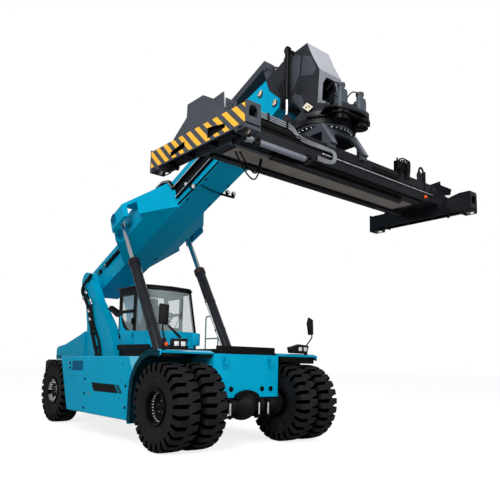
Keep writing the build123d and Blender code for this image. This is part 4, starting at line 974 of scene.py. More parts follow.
# %% Lock plates and hoses
bm = bmesh.new()
for s, h in NOSE_PINS:
    for x, push in ((-368, -8), (368, 8)):
        for shift in (-34, 8):
            plate(bm, [(x, -s + u * 0.8 + shift - 4 - 0.5 * v, h + v + 0.6 * u) for u, v in
                       ((-10, -44), (16, -44), (16, 44), (-10, 44))], (push, 0, 0))
        rod(bm, (x, -s + 46, h + 4), (x + 2 * push, -s + 46, h + 4), 13, sides=6)
        rod(bm, (x, -s - 48, h - 6), (x + 2 * push, -s - 48, h - 6), 13, sides=6)
soften(bm, 2, 1)
settle(bm, "nose_lock_plates", cream, "inner_boom_and_nose", BOOM)

lines = [[(x, -8560, -560), (x * 0.8, -8800, -640), (x * 0.9, -8760, -860), (x, -8640, -980)]
         for x in (-110, -60, 0, 60, 110)]
lines += [[(-330, -8150 - 90 * i, 60), (-350, -8190 - 60 * i, -160), (-350, -8150 - 40 * i, -320),
           (-320, -8050, -420 - 30 * i)] for i in range(3)]
lines += [[(-150 + 50 * i, -7980, 720), (-150 + 50 * i, -8080, 730), (-140 + 50 * i, -8180, 620),
           (-130 + 50 * i, -8200, 460)] for i in range(5)]
hose("nose_hoses", lines, 24, hose_rubber, "inner_boom_and_nose", BOOM)

# %% [markdown]
# The rotator turns the spreader. Its housing hangs on one cross pin, and two
# motors at its front drive pinions, under sleeves, round the slewing ring. A
# curved guard follows the ring, so it is cut from two arcs about its axis.

# %% Rotator
PIN_Z = 6251.7
MOTOR_X = 255
MOTOR_Y = -2858
bm = bmesh.new()
for side in (-1, 1):
    rod(bm, (side * 382, SLEW_Y, PIN_Z), (side * 414, SLEW_Y, PIN_Z), 96, sides=48)
shell = bow(0, 0, 640, 195, 345, 24)
hollow = bow(0, 0, 600, 345, 195, 24)
plate(bm, [(u, SLEW_Y + v, 5928) for u, v in shell + hollow], (0, 0, 34))
for x in (-MOTOR_X, MOTOR_X):
    for z0, z1, radius in ((5828, 5933, 128), (5826, 5842, 146), (5925, 6000, 158)):
        rod(bm, (x, MOTOR_Y, z0), (x, MOTOR_Y, z1), radius, sides=40)
outline = bow(0, 0, 860, 225, 315, 20)
plate(bm, [(u, SLEW_Y + v, 5990) for u, v in outline] + [(420, SLEW_Y - 300, 5990),
                                                         (-420, SLEW_Y - 300, 5990)], (0, 0, 26))
outline = [(-466, MOTOR_Y), (-300, -3010), (300, -3010), (466, MOTOR_Y), (420, -2600),
           (-420, -2600)]
plate(bm, [(u, v, 5934) for u, v in outline], (0, 0, 22))
soften(bm, 5)
settle(bm, "slew_guard", soot, "rotator")

# %% [markdown]
# Each motor is a stack of flanges and a cap with a ring of bolts. The cap's
# edge is turned down to a cone. Hoses as thin as a thumb loop back to the
# housing.

# %% Motors and their hoses
bm = bmesh.new()
for x in (-MOTOR_X, MOTOR_X):
    for z0, z1, radius, top_radius, sides in (
            (6089, 6118, 140, 140, 40), (6290, 6330, 112, 86, 40), (6450, 6500, 74, 74, 32),
            (6500, 6516, 74, 44, 32)):
        rod(bm, (x, MOTOR_Y, z0), (x, MOTOR_Y, z1), radius, top_radius, sides=sides)
    bolt = rod(bm, (x, MOTOR_Y + 126, 6118), (x, MOTOR_Y + 126, 6132), 10, sides=6)
    round_and_round(bm, bolt, (x, MOTOR_Y, 6118), (0, 0, 1), 10)
    box(bm, x + 60, x + 130, -2890, -2826, 6330, 6420)
soften(bm, 3, 1)
settle(bm, "motor_caps", gearbox_grey, "rotator")

MOTOR_HOSES = (((-66, 0, 6480), (-130, 8, 6500), (-180, 78, 6470), (-190, 158, 6380)),
               ((-100, 0, 6230), (-180, -2, 6250), (-230, 68, 6200), (-220, 158, 6110)),
               ((96, 0, 6375), (170, -2, 6380), (190, 58, 6260), (150, 138, 6100)))
lines = [[(x + dx, MOTOR_Y + dy, z) for dx, dy, z in line]
         for line in MOTOR_HOSES for x in (-MOTOR_X, MOTOR_X)]
lines += [[(-250 + 70 * i, SLEW_Y - 470, 6085), (-240 + 60 * i, SLEW_Y - 530, 6200),
           (-180 + 50 * i, SLEW_Y - 420, 6330), (-120 + 40 * i, SLEW_Y - 200, 6180)]
          for i in range(4)]
hose("rotator_hoses", lines, 22, hose_rubber, "rotator")

# %% [markdown]
# The cross pin is held by a slanting plate with two slots. Its corners are
# written round the pin's middle, so that it could be turned or moved with it.

# %% Covers of the cross pin
bm = bmesh.new()
LOZENGE = ((-134, -42), (14, 92), (134, 42), (-14, -92))
SLOTS = (((-60, -20), (-22, 22), (-6, 11), (-42, -30)), ((8, -8), (48, 34), (64, 22), (28, -20)))
for x, push in ((-414, -8), (414, 8)):
    outline, *slots = [[(x, SLEW_Y - 16 + u, PIN_Z + v) for u, v in corners]
                       for corners in (LOZENGE, *SLOTS)]
    holed(bm, outline, slots, (push, 0, 0))
soften(bm, 2, 1)
settle(bm, "pin_cover_plates", cream, "rotator")

# %% [markdown]
# The slewing ring has 84 teeth outside and 36 bolts below. One tooth and one
# bolt are spun round. On the real ring a tooth is an involute, but at this size
# a bevelled block can't be told from it.

# %% Teeth and bolts of the slewing ring
bm = bmesh.new()
tooth = box(bm, -11, 11, SLEW_Y - 600, SLEW_Y - 578, 5836, 5932)
round_and_round(bm, tooth, (0, SLEW_Y, 5880), (0, 0, 1), 84)
soften(bm, 3, 1)
settle(bm, "slew_teeth", iron_grey, "turntable")
bm = bmesh.new()
bolt = rod(bm, (0, SLEW_Y - 522, 5801), (0, SLEW_Y - 522, 5778), 17, sides=6)
round_and_round(bm, bolt, (0, SLEW_Y, 5800), (0, 0, 1), 36)
settle(bm, "slew_bolts", plated, "turntable")
bm = bmesh.new()
for x in (-425, 425):
    for low, high, push in ((-668, -406, -8), (668, 406, 8)):
        plate(bm, [(x - 62, SLEW_Y + low, 5384), (x + 62, SLEW_Y + low, 5384),
                   (x + 52, SLEW_Y + high, 5810), (x - 52, SLEW_Y + high, 5810)], (0, push, 0))
soften(bm, 2, 1)
settle(bm, "centre_leg_faces", tube_grey, "turntable")

# %% [markdown]
# ## Boom
# Bolts sit round the ear covers. Lamp brackets and a thin cable cross the
# boom's side and underside, and a bright rail edges the hose track. Two bundles
# of hoses climb from the tower's foot to the boom's rear band.

# %% Boom fittings
EAR_S = 2793
EAR_H = 257
bm = bmesh.new()
for x, push in ((-1207, -10), (1207, 10)):
    rod(bm, (x, -EAR_S, EAR_H), (x + push, -EAR_S, EAR_H), 118, sides=48)
    bolt = rod(bm, (x + push, -EAR_S, EAR_H + 90), (x + 2.4 * push, -EAR_S, EAR_H + 90), 12,
               sides=6)
    round_and_round(bm, bolt, (x, -EAR_S, EAR_H), (1, 0, 0), 8)
soften(bm, 3, 1)
settle(bm, "ear_covers", dark_blue, "boom", BOOM)

# %% [markdown]
# Two lamps hang at the boom's side on a slanting bracket and two below it. They
# light the container at night. A round lamp is a rod with a paler cone for its
# lens.

# %% Lamps of the boom
bm = bmesh.new()
plate(bm, [(-366, -4790, 150), (-366, -4850, 150), (-366, -5150, -230), (-366, -5090, -230)],
      (-40, 0, 0))
box(bm, 300, 730, -5210, -5150, -290, -262)
LAMPS = ((-430, 4850, 60, 62), (-430, 5080, -190, 44), (480, 5220, -234, 8), (660, 5220, -234, 8))
for x, s, h, dip in LAMPS:
    rod(bm, (x, -s, h), (x, -s - 66, h - dip), 54, sides=32)
box(bm, -372, -362, -6100, -4420, -60, -42)
for s in (900, 1500, 2100, 4700, 5500):
    for x in (-340, 300):
        box(bm, x, x + 40, -s - 30, -s + 30, -274, -262)
soften(bm, 3, 1)
settle(bm, "boom_lamp_brackets", soot, "boom", BOOM)

bm = bmesh.new()
for x, s, h, dip in LAMPS:
    rod(bm, (x, -s - 65, h - dip), (x, -s - 76, h - 1.16 * dip), 47, 40, sides=32)
soften(bm, 2, 1)
settle(bm, "boom_lamp_lenses", lens, "boom", BOOM)

# %% [markdown]
# When the boom slides out it draws its hoses with it, in a chain of links. The
# links are set at even steps along a line of points, each turned to the line's
# slope. A curve modifier could bend a straight chain, but it would also bend
# the links.

# %% The hose chain
# The hoses of the boom's track hang in a chain of links that bends back on itself.
CHAIN = ((4420, 250), (4300, 520), (4060, 660), (3780, 690), (3530, 590), (3420, 400), (3480, 220),
         (3680, 120))
lengths = [0]
for (s0, h0), (s1, h1) in zip(CHAIN, CHAIN[1:]):
    lengths.append(lengths[-1] + ((s1 - s0) ** 2 + (h1 - h0) ** 2) ** 0.5)


def on_chain(far):
    """A point of the chain and its slope, at a length along it."""
    k = max(i for i in range(len(CHAIN) - 1) if lengths[i] <= far)
    (s0, h0), (s1, h1) = CHAIN[k], CHAIN[k + 1]
    share = (far - lengths[k]) / (lengths[k + 1] - lengths[k])
    return s0 + (s1 - s0) * share, h0 + (h1 - h0) * share, atan2(h1 - h0, s1 - s0)


bm = bmesh.new()
dots = bmesh.new()
count = int(lengths[-1] / 62)
for i in range(count):
    s, h, slope = on_chain((i + 0.5) * lengths[-1] / count)
    turn = Matrix.Translation((-420, -s, h)) @ Matrix.Rotation(-slope, 4, "X")
    link = box(bm, -44, 44, -28, 28, -34, 34)
    bmesh.ops.transform(bm, matrix=turn, verts=link)
    for x in (-36, 30):
        cheek = box(bm, x, x + 6, -36, 36, -40, 40)
        bmesh.ops.transform(bm, matrix=turn, verts=cheek)
    bmesh.ops.transform(dots, matrix=turn, verts=rod(dots, (-50, 0, 0), (-43, 0, 0), 15, sides=12))
box(bm, -446, -364, -3740, -3600, 70, 160)
soften(bm, 4, 1)
settle(bm, "hose_chain", soot, "boom", BOOM)
settle(dots, "hose_chain_pins", plated, "boom", BOOM)

# %% [markdown]
# The track's edges are worn bright, and pads on the boom's collar guide the
# sliding section. Hoses along the boom run in threes, at an even pitch.

# %% Track edges, pads and hoses
bm = bmesh.new()
for h0, h1 in ((258, 276), (-40, -28)):
    box(bm, -446, -438, -6100, -4420, h0, h1)
soften(bm, 2, 1)
settle(bm, "hose_track_edges", plated, "boom", BOOM)

bm = bmesh.new()
for x in (-372, 364):
    box(bm, x, x + 8, -6280, -6120, -240, 490)
box(bm, -440, -364, -6112, -6090, -30, 268)
soften(bm, 4)
settle(bm, "boom_collar_pads", shaded_boom_cyan, "boom", BOOM)

lines = [[(x, y, 225 + 26 * i) for x, y in ((-412, -600), (-430, -900), (-430, -1300),
                                            (-412, -1560))] for i in range(3)]
lines += [[(-372, -1560 - 20 * i, 225 + 26 * i), (-380, -1900, 240 + 30 * i),
           (-380, -2200, 260 + 30 * i), (-372, -2420, 270 + 30 * i)] for i in range(3)]
lines += [[(-374, -4400, -180 - 30 * i), (-378, -4800, -205 - 26 * i),
           (-378, -5600, -215 - 22 * i), (-372, -6100, -215 - 22 * i)] for i in range(2)]
lines += [[(-330, -5300, -268), (-150, -5250, -282), (0, -5230, -286), (180, -5200, -282),
           (330, -5180, -270)]]
hose("boom_hoses", lines, 24, hose_rubber, "boom", BOOM)

# %% [markdown]
# ## Front of the chassis
# Black housings with two white lenses stand on each mudguard, and a mirror with
# a tapered head stands on a bent arm above them. The arches are lined in dark
# teal, as painted shade. Bright studs hang below the front plate.

# %% Lamps and mirrors on the mudguards
HOUSINGS = (((1207, 2010), (1250, 1884), (1780, 1876), (1828, 2062), (1515, 2088)),
            ((-1790, 1880), (-1495, 1884), (-1440, 2060), (-1470, 2084), (-1790, 2070)))
bm = bmesh.new()
for housing in HOUSINGS:
    plate(bm, [(x, -60, z) for x, z in housing], (0, -84, 0))
box(bm, -1970, -1780, -96, -64, 1872, 1910)
rod(bm, (-1920, -80, 1900), (-1920, -80, 1930), 26, sides=24)
soften(bm, 9)
settle(bm, "lamp_housings", moulded, "chassis", replaces=("fender_lamps",))
bm = bmesh.new()
for x in (1499, 1661, -1750, -1602):
    box(bm, x, x + 98, -152, -142, 1938, 2022)
soften(bm, 6)
settle(bm, "lamp_lenses", lens, "chassis")
bm = bmesh.new()
bmesh.ops.create_uvsphere(bm, u_segments=32, v_segments=16, radius=44,
                          matrix=Matrix.Translation((-1915, -120, 1962)))
settle(bm, "turn_lamp", amber, "chassis")

# %% [markdown]
# A mirror is a moulded shell with a thin glass on its rear. The bent arm is a
# few rods end to end. The near head is broad and square, the far one narrow.

# %% Mirrors
bm = bmesh.new()
HEAD = ((1734, 2699), (1867, 2644), (1879, 2315), (1738, 2297), (1686, 2569))
NEAR_HEAD = ((1740, 2676), (1936, 2690), (1940, 2318), (1750, 2303))
ARM = ((1757, -120, 2060), (1812, -170, 2160), (1855, -205, 2245), (1846, -212, 2330))
for side, shift, shape in ((1, 0, HEAD), (-1, -196, NEAR_HEAD)):
    plate(bm, [(side * x + shift, -192, z) for x, z in shape], (0, -42, 0))
    for start, end in zip(ARM, ARM[1:]):
        rod(bm, (side * start[0] + shift, start[1], start[2]),
            (side * end[0] + shift, end[1], end[2]), 15, sides=16)
    box(bm, side * 1757 + shift - 34, side * 1757 + shift + 34, -140, -90, 1860, 2074)
plate(bm, [(-1920, -140, 2300), (-1880, -140, 2310), (-1610, -140, 2110), (-1640, -140, 2070)],
      (0, -34, 0))
soften(bm, 8)
settle(bm, "mirror_heads", moulded, "chassis", replaces=("mirrors",))
bm = bmesh.new()
for side, shift, shape in ((1, 0, HEAD), (-1, -190, NEAR_HEAD)):
    inner = [(side * (1800 + (x - 1800) * 0.8) + shift, -190, 2490 + (z - 2490) * 0.88)
             for x, z in shape]
    plate(bm, inner, (0, 5, 0))
settle(bm, "mirror_glasses", chrome, "chassis")

# %% [markdown]
# Under each mudguard the arch is lined with sheet that follows the wheel, in
# dark teal as painted shade. Its points are those of the mudguard's own
# outline, moved toward the hub, so the lining stays even. The two sides are
# mirrored.

# %% Mudguard linings
ARCH = ((-172, 1835), (-60, 1870), (230, 1870), (520, 1770), (760, 1560), (920, 1300), (960, 1000),
        (960, 440))


def toward_hub(point, far):
    """A point of the arch moved toward the wheel's hub."""
    spot, hub = Vector(point), Vector((0, TYRE_R))
    return tuple(spot + (hub - spot).normalized() * far)


bm = bmesh.new()
lip = list(ARCH) + [toward_hub(p, 120) for p in reversed(ARCH)]
plate(bm, [(-2066, y, z) for y, z in lip], (-3, 0, 0))
for start, end in zip(ARCH, ARCH[1:]):
    (y0, z0), (y1, z1) = toward_hub(start, 34), toward_hub(end, 34)
    plate(bm, [(-2034, y0, z0), (-862, y0, z0), (-862, y1, z1), (-2034, y1, z1)],
          Vector((0, z0 - z1, y1 - y0)).normalized() * -5)
both_sides(bm)
# Dark teal sheet: painted shade in the arches.
settle(bm, "arch_shade_linings", arch_shade_teal, "chassis", smooth=False)
bm = bmesh.new()
box(bm, 1000, 1980, -100, -30, 1690, 1826)
box(bm, 1380, 2040, 330, 440, 1602, 1752)
box(bm, 1380, 2046, -90, 40, 1660, 1826)
for x in (1060, 1300, 1540, 1780):
    rod(bm, (x, -102, 1750), (x, -116, 1750), 20, sides=6)
box(bm, -1980, -1500, -100, -30, 1730, 1826)
soften(bm, 8)
settle(bm, "mudguard_brackets", soot, "chassis")

# %% [markdown]
# The drive axle is bolted up against the frame by long studs. They are bright
# where the thread is bare, between two black clamp blocks.

# %% Studs below the front plate
STUD_X = (-460, 293, 540)
STUD_Y = -215
bm = bmesh.new()
for x in STUD_X:
    rod(bm, (x, STUD_Y, 600), (x, STUD_Y, 900), 22, sides=24)
soften(bm, 1.5, 1)
settle(bm, "front_studs", plated, "chassis")
bm = bmesh.new()
for x in STUD_X:
    for z in (560, 872):
        box(bm, x - 42, x + 42, -262, -168, z, z + 44)
        rod(bm, (x, STUD_Y, z - 16), (x, STUD_Y, z + 60), 34, sides=6)
for x in (293, 540):
    box(bm, x - 60, x - 44, -250, -170, 560, 916)
soften(bm, 3, 1)
settle(bm, "stud_blocks", soot, "chassis")

# %% [markdown]
# The front plate is cut out in a flat arch over the axle. The CAD plate's arch
# is a taller one, so a thin filler in the same cyan closes it down, and a black
# plate in the opening is painted shade over the axle. Black discs in the four
# bolt holes are painted shade, for their depth.

# %% Arch and edges of the front plate
# A black plate before the axle is painted shade in the arch's opening, and a
# filler in the plate's own cyan brings the arch down to it.
ARCH_FOOT = 976
HOLE_Z = 1125
bm = bmesh.new()
hump = [(u, -256, v) for u, v in bow(-30, 630, 478, 129, 51, 20)]
plate(bm, hump + [(270, -256, 930), (-330, -256, 930)], (0, 84, 0))
box(bm, -520, -500, -200, -110, 560, 720)
soften(bm, 6, 1)
settle(bm, "arch_opening_shade", soot, "chassis")
bm = bmesh.new()
crown = [(u, -176, v) for u, v in bow(0, ARCH_FOOT, 364, 180, 0, 24)]
shallow = [(u, -176, v) for u, v in bow(0, 630, 480, 46.2, 133.8, 24)]
plate(bm, crown + shallow, (0, 6, 0))
settle(bm, "arch_filler", cyan, "chassis")
bm = bmesh.new()
for x in (336, -860):
    box(bm, x, x + 524, -186, -170, 958, 984)
for x in (-595, 595):
    for z in (1540, 1710):
        rod(bm, (x, -172, z), (x, -190, z), 26, sides=6)
soften(bm, 4, 1)
settle(bm, "front_plate_edges", cyan, "chassis")
bm = bmesh.new()
# Black discs fill the four bolt holes as painted shade.
for x in (-650, -408, 408, 650):
    rod(bm, (x, -176, HOLE_Z), (x, -122, HOLE_Z), 55, sides=32)
for x in range(430, 740, 76):
    rod(bm, (x, -164, 1900), (x, -172, 1900), 24, sides=24)
    rod(bm, (x, -164, 1900), (x, -178, 1900), 14, sides=6)
box(bm, -120, 330, -172, -160, 1822, 1850)
settle(bm, "cross_beam_bolts_and_hole_shade", soot, "chassis")

# %% [markdown]
# ## Side tanks
# Each side has a dark blue cover, a few black bolts, and a blank black plate
# with slanted ends and two short slashes behind it. A gusset closes the gap
# between the tank and the arch; its upper corner is lighter cyan, a painted
# highlight.

# %% Covers, bolts and gussets of the side tanks
# Cyan lightened as a painted highlight, for the gussets' upper corners.
painted_highlight_cyan = enamel("cyan lightened as painted highlight", "#55BEDD", "#6CCBE6", 0.3, gloss=0.2)
bm = bmesh.new()
plate(bm, [(-2000, y, z) for y, z in ((3842, 1628), (3262, 1632), (3250, 1412), (3848, 1409))],
      (-5, 0, 0))
both_sides(bm)
soften(bm, 2, 1)
settle(bm, "tank_covers", dark_blue, "chassis")
bm = bmesh.new()
for y, z in ((3979, 1572), (3972, 1460), (3114, 1226), (3114, 908), (3114, 593), (1180, 1149),
             (1180, 729)):
    rod(bm, (-1998, y, z), (-2010, y, z), 30, sides=24)
    rod(bm, (-2008, y, z), (-2020, y, z), 19, sides=6)
for y, z in ((1350, 1585), (1395, 1245), (1440, 905)):
    rod(bm, (-1998, y, z), (-2006, y, z), 14, sides=16)
plate(bm, [(-2000, y, z) for y, z in ((2765, 1163), (1662, 1159), (1494, 988), (2631, 981))],
      (-4, 0, 0))
for shift in (0, 78):
    plate(bm, [(-2000, y - shift, z) for y, z in ((1622, 1162), (1572, 1162), (1396, 990),
                                                  (1452, 990))], (-4, 0, 0))
both_sides(bm)
soften(bm, 1.5, 1)
settle(bm, "tank_bolts_and_plates", soot, "chassis")
GUSSETS = (("tank_gussets", cyan,
            ((1122, 482), (1122, 1736), (950, 1472), (968, 1000), (968, 482))),
           ("tank_gusset_highlights", painted_highlight_cyan,
            ((1122, 1738), (580, 1738), (780, 1562), (930, 1310), (950, 1472))))
for name, finish, outline in GUSSETS:
    bm = bmesh.new()
    plate(bm, [(-1996, y, z) for y, z in outline], (8, 0, 0))
    both_sides(bm)
    settle(bm, name, finish, "chassis", smooth=False)
bm = bmesh.new()
rod(bm, (-1998, 2885, 912), (-2012, 2885, 912), 26, sides=24)
rod(bm, (-1998, 4060, 1580), (-2010, 4060, 1580), 20, sides=24)
rod(bm, (1998, 2885, 912), (2012, 2885, 912), 26, sides=24)
soften(bm, 3, 1)
settle(bm, "tank_drain_caps", primer, "chassis")

# %% [markdown]
# ## Towers, hood and boom foot
# Two bundles of black hoses climb the outside of the near tower and end in
# bright fittings at its head. Black rails run along the boom's rear band. The
# hood stands on a black sill and has louvres at its rear.

# %% Hoses of the towers
CLIMB = ((5157, 1775), (5395, 2146), (5580, 2481), (5710, 2788), (5820, 3067), (6017, 3275),
         (6236, 3472), (6353, 3615), (6273, 3758), (6000, 3920), (5790, 4030))
SECOND = ((4948, 1775), (5034, 2094), (5239, 2345), (5449, 2602), (5590, 2861), (5677, 3122),
          (5700, 3290), (5956, 3401), (6070, 3541), (6061, 3640))
lines = [[(-(790 + 8 * i), y + 34 * i, z + 10 * i) for y, z in CLIMB] for i in (-1, 0, 1)]
lines += [[(-(785 + 6 * i), y + 30 * i, z + 6 * i) for y, z in SECOND] for i in (0, 1)]
lines += [[(-(700 - 40 * i), 5157 + 30 * i, 1790), (-(760 - 10 * i), 5157 + 30 * i, 1775),
           (-790, 5157 + 30 * i, 1800)] for i in range(2)]
hose("tower_hoses", lines, 54, hose_rubber, "chassis")
bm = bmesh.new()
for y, z in ((5650, 3230), (5720, 3310), (5800, 3010), (5690, 2780), (6180, 3400), (6040, 3560)):
    rod(bm, (-800, y - 26, z - 44), (-800, y + 26, z + 44), 34, sides=6)
    rod(bm, (-812, y - 12, z - 22), (-812, y + 12, z + 22), 38, sides=24)
soften(bm, 3, 1)
settle(bm, "tower_hose_fittings", zinc, "chassis")
bm = bmesh.new()
for y, z in ((5290, 2000), (5520, 2380), (5680, 2700)):
    box(bm, -812, -750, y - 110, y + 110, z - 26, z + 26)
box(bm, -800, -750, 5000, 5330, 1738, 1800)
soften(bm, 6, 1)
settle(bm, "tower_hose_clamps", soot, "chassis")

# %% [markdown]
# A bank of valves is bolted to the tower, behind the cab. Blocks with ports and
# hoses that loop down from them are all that can be seen of it.

# %% Valves between the tower and the cab
bm = bmesh.new()
for i, z in enumerate((1800, 2010, 2230, 2450)):
    box(bm, -500 + 10 * i, -268, 4180, 4276, z, z + 150)
    for x in (-450, -380, -310):
        rod(bm, (x, 4182, z + 75), (x, 4130, z + 75), 26, sides=20)
        rod(bm, (x, 4132, z + 75), (x, 4112, z + 75), 17, sides=6)
for x in (-470, -400, -330):
    rod(bm, (x, 4230, 2600), (x, 4230, 2680), 24, sides=16)
soften(bm, 6, 1)
settle(bm, "valve_blocks", soot, "chassis")
lines = [[(x, 4120, z), (x - 10, 4040, z - 20), (x - 30, 4020, z - 180), (x - 20, 4090, z - 330)]
         for x, z in ((-450, 2525), (-380, 2525), (-310, 2525), (-430, 2305), (-360, 2305))]
hose("valve_hoses", lines, 30, hose_rubber, "chassis")

# %% [markdown]
# Walkways have rails of bent tube. A curve bends at its corners as the tube
# does. The ladder on the left is of flat bars, with ribs on its treads for
# muddy boots.

# %% Handrails
rail_lines = [[(1300, 2580, 1742), (1300, 2580, 2700), (1300, 2580, 2860), (1300, 2740, 2860),
               (1300, 2970, 2860), (1300, 3130, 2860), (1300, 3130, 2700), (1300, 3130, 1742)],
              [(1300, 2580, 2270), (1300, 3130, 2270)]]
hose("rounded_handrails", rail_lines, 36, rail_teal, "chassis")
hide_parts("handrails")
bm = bmesh.new()
for y in (2620, 3060):
    box(bm, 2000, 2120, y, y + 20, 560, 1560)
for z in (600, 900, 1200, 1500):
    box(bm, 2000, 2120, 2630, 3070, z, z + 25)
    for y in range(2660, 3040, 60):
        box(bm, 2090, 2118, y, y + 30, z + 24, z + 32)
soften(bm, 4, 1)
settle(bm, "side_ladder", rail_teal, "chassis")

# %% [markdown]
# At the boom's foot black clips hold the hose rails. The hood is made of thin
# sheet: a dark sill shows under it, and slats in a frame let the hot air out
# at the rear. The slats are tilted so that rain runs off.

# %% Boom foot and hood
bm = bmesh.new()
for h0, h1 in ((214, 236), (290, 306)):
    box(bm, -424, -408, -1560, 140, h0, h1)
for s in (-100, 260, 700, 1120, 1500):
    box(bm, -430, -366, -s - 34, -s + 34, 200, 318)
box(bm, -420, -366, -1900, -1640, 196, 300)
box(bm, -404, -366, -2330, -2120, 230, 300)
soften(bm, 5, 1)
settle(bm, "boom_foot_rails", soot, "boom", BOOM)
bm = bmesh.new()
for s, h in ((1700, 240), (1840, 262), (2180, 262), (2280, 270), (640, 262), (1060, 262)):
    rod(bm, (-420, -s, h), (-436, -s, h), 22, sides=6)
soften(bm, 2, 1)
settle(bm, "boom_foot_fittings", plated, "boom", BOOM)
bm = bmesh.new()
box(bm, -806, -798, 6005, 7975, 1722, 1768)
both_sides(bm)
box(bm, -600, 600, 7976, 7990, 1745, 1965)
soften(bm, 3, 1)
settle(bm, "hood_sill", soot, "chassis")
bm = bmesh.new()
for i in range(7):
    slat = box(bm, -580, 580, -4, 4, -16, 16)
    bmesh.ops.transform(bm, verts=slat, matrix=Matrix.Translation((0, 7994, 1765 + 30 * i))
                        @ Matrix.Rotation(radians(35), 4, "X"))
for x in (-680, 480):
    box(bm, x, x + 200, 7990, 8004, 1380, 1470)
soften(bm, 2, 1)
settle(bm, "rear_louvres", iron_grey, "chassis")
bm = bmesh.new()
for x in (-665, 589):
    box(bm, x, x + 76, 8002, 8012, 1392, 1458)
soften(bm, 5)
red = enamel("red polycarbonate", "#B01818", "#BE1F1F", 0.2, patch=0.05)
settle(bm, "rear_lamps", red, "chassis")

# %% [markdown]
# ## Cab
# The lower part of each door is a cyan panel whose upper edge falls in a curve
# toward the front. A dark bar crosses the side window. The roof is capped by a
# thin slab, the floor stands on a black skirt, and a ribbed loom leaves the
# rear pillar for the tower.

# %% Door panels and bars
SILL = ((3386, 2052), (4126, 2052), (4126, 2800), (4062, 2790), (4040, 2700), (3995, 2590),
        (3930, 2500), (3850, 2440), (3760, 2410), (3640, 2400), (3500, 2400), (3386, 2400))
for side, word in ((-1, "right"), (1, "left")):
    bm = bmesh.new()
    plate(bm, [(side * 690, y, z) for y, z in SILL], (side * 10, 0, 0))
    soften(bm, 4)
    settle(bm, f"door_panel_{word}", cyan, f"door_{word}")
    bm = bmesh.new()
    box(bm, side * 688, side * 702, 3420, 4080, 2842, 2922)
    box(bm, side * 690, side * 722, 3430, 3470, 2560, 2700)
    rod(bm, (side * 722, 3450, 2580), (side * 722, 3450, 2680), 12, sides=16)
    for z in (2250, 3150):
        rod(bm, (side * 700, 4118, z), (side * 700, 4118, z + 110), 20, sides=20)
    soften(bm, 4, 1)
    settle(bm, f"door_bars_{word}", soot, f"door_{word}")

# %% [markdown]
# The roof's cap and the skirt follow the bowed windscreen, so they share its
# outline. The loom is a ribbed cover over the cables, and the wiper two thin
# rods.

# %% Roof, skirt, loom and wiper
bm = bmesh.new()
plate(bm, [(x, y, 3478) for x, y in ((-712, 4300), (712, 4300), (712, 2990), (560, 2880),
                                     (0, 2790), (-560, 2880), (-712, 2990))], (0, 0, 30))
soften(bm, 10, 2)
settle(bm, "roof_cap", charcoal, "cab")
bm = bmesh.new()
skirt = [(-702, 4210), (-702, 2690), (-540, 2635), (-300, 2568), (0, 2542), (300, 2568),
         (540, 2635), (702, 2690), (702, 4210)]
plate(bm, [(x, y, 1930) for x, y in skirt], (0, 0, 120))
loom = [(4195, 2760), (4195, 2860), (4360, 2927), (4736, 3072), (4900, 3030), (4361, 2777)]
plate(bm, [(-690, y, z) for y, z in loom], (110, 0, 0))
for i in range(8):
    y, z = 4300 + 62 * i, 2884 + 24 * i
    box(bm, -696, -574, y, y + 30, z, z + 46)
box(bm, -20, 20, 2742, 2756, 2300, 2360)
rod(bm, (0, 2690, 2345), (210, 2640, 2880), 9, sides=12)
rod(bm, (210, 2640, 2700), (210, 2610, 3180), 8, sides=12)
soften(bm, 5, 1)
settle(bm, "cab_trim", soot, "cab")
bm = bmesh.new()
plate(bm, [(x, y, 2052) for x, y in ((690, 3340), (786, 3240), (786, 2640), (730, 2600),
                                     (540, 2632), (560, 2700))], (0, 0, 318))
soften(bm, 30, 3)
settle(bm, "cab_nose_corner", cyan, "cab")

# %% [markdown]
# A cushion is foam under tight cloth: flat at its seams and full in the middle.
# A cloth simulation would find that shape, but moving the points of a finely
# cut box by a smooth rule gives it at once, and the same each time.

# %% Seat cushions
def cushion(bm, x0, x1, y0, y1, z0, z1, crown):
    """A pad whose faces swell in the middle and whose edges stay put."""
    verts = box(bm, x0, x1, y0, y1, z0, z1)
    edges = list({e for v in verts for e in v.link_edges})
    bmesh.ops.subdivide_edges(bm, edges=edges, cuts=9, use_grid_fill=True)
    middle = Vector(((x0 + x1) / 2, (y0 + y1) / 2, (z0 + z1) / 2))
    half = Vector((x1 - x0, y1 - y0, z1 - z0)) / 2
    for vert in bm.verts:
        share = [(vert.co - middle)[i] / half[i] for i in range(3)]
        for i in range(3):
            others = [share[k] for k in range(3) if k != i]
            flat = (1 - others[0] ** 4) * (1 - others[1] ** 4)
            vert.co[i] += share[i] ** 3 * crown * flat


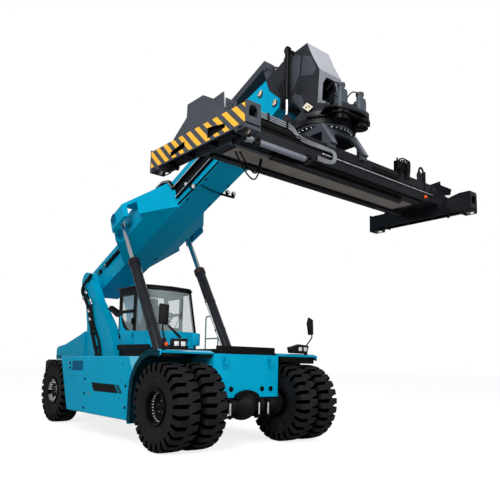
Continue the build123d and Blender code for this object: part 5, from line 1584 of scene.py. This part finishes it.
PADS = (("seat_cushion", (-248, 248, 3242, 3742, 2412, 2548), 26, 0.7),
        ("seat_back", (-236, 236, 3652, 3796, 2552, 3084), 22, 0.7),
        ("head_rest", (-146, 146, 3684, 3786, 3092, 3264), 16, 0.6))
for name, limits, crown, fill in PADS:
    bm = bmesh.new()
    cushion(bm, *limits, crown)
    settle(bm, name, seat_cloth, "cab")

# %% [markdown]
# ## Lift cylinders
# A bright pipe runs beside each barrel, held by black clamps. The head of one
# barrel is still in its brown primer.

# %% Pipes and rings on the lift cylinders
foot, along = Vector((0, 1330, 1300)), Vector((0, 2390, 3870.6)).normalized()
front = Vector((0, -along.z, along.y))


def on_barrel(x, far, out=0.0):
    """A point beside a barrel's axis, at a length from the foot."""
    return Vector((x, 0, 0)) + foot + along * far + front * out


def band(bm, x, far0, far1, inner, outer):
    """A ring round a barrel, spun full circle from its section."""
    loop = [on_barrel(x, far, out) for far, out in
            ((far0, inner), (far1, inner), (far1, outer), (far0, outer))]
    verts = [bm.verts.new(spot) for spot in loop]
    edges = [bm.edges.new(pair) for pair in zip(verts, verts[1:] + verts[:1])]
    bmesh.ops.spin(bm, geom=verts + edges, cent=on_barrel(x, 0), axis=along, angle=2 * pi,
                   steps=48, use_merge=True)


bm = bmesh.new()
for x in (-822, 822):
    rod(bm, on_barrel(x, 440), on_barrel(x, 2240), 15, sides=16)
settle(bm, "barrel_pipes", plated, "lift_cylinder_barrels")
bm = bmesh.new()
for x in (-960, 960):
    for far in (480, 1340, 2200):
        band(bm, x, far - 22, far + 22, 124, 132)
        low, high = sorted((x * 0.825, x))
        clamp = box(bm, low, high, -20, 20, -20, 20)
        bmesh.ops.transform(bm, verts=clamp, matrix=Matrix.Translation(foot + along * far))
soften(bm, 4, 1)
settle(bm, "barrel_clamps", lift_black, "lift_cylinder_barrels")
bm = bmesh.new()
band(bm, 960, 3098, 3236, 139, 143.5)
soften(bm, 3, 1)
brown = enamel("red-brown primer", "#2E1F20", "#3A2726", 0.5, gloss=0.15)
settle(bm, "barrel_ring", brown, "lift_cylinder_barrels")
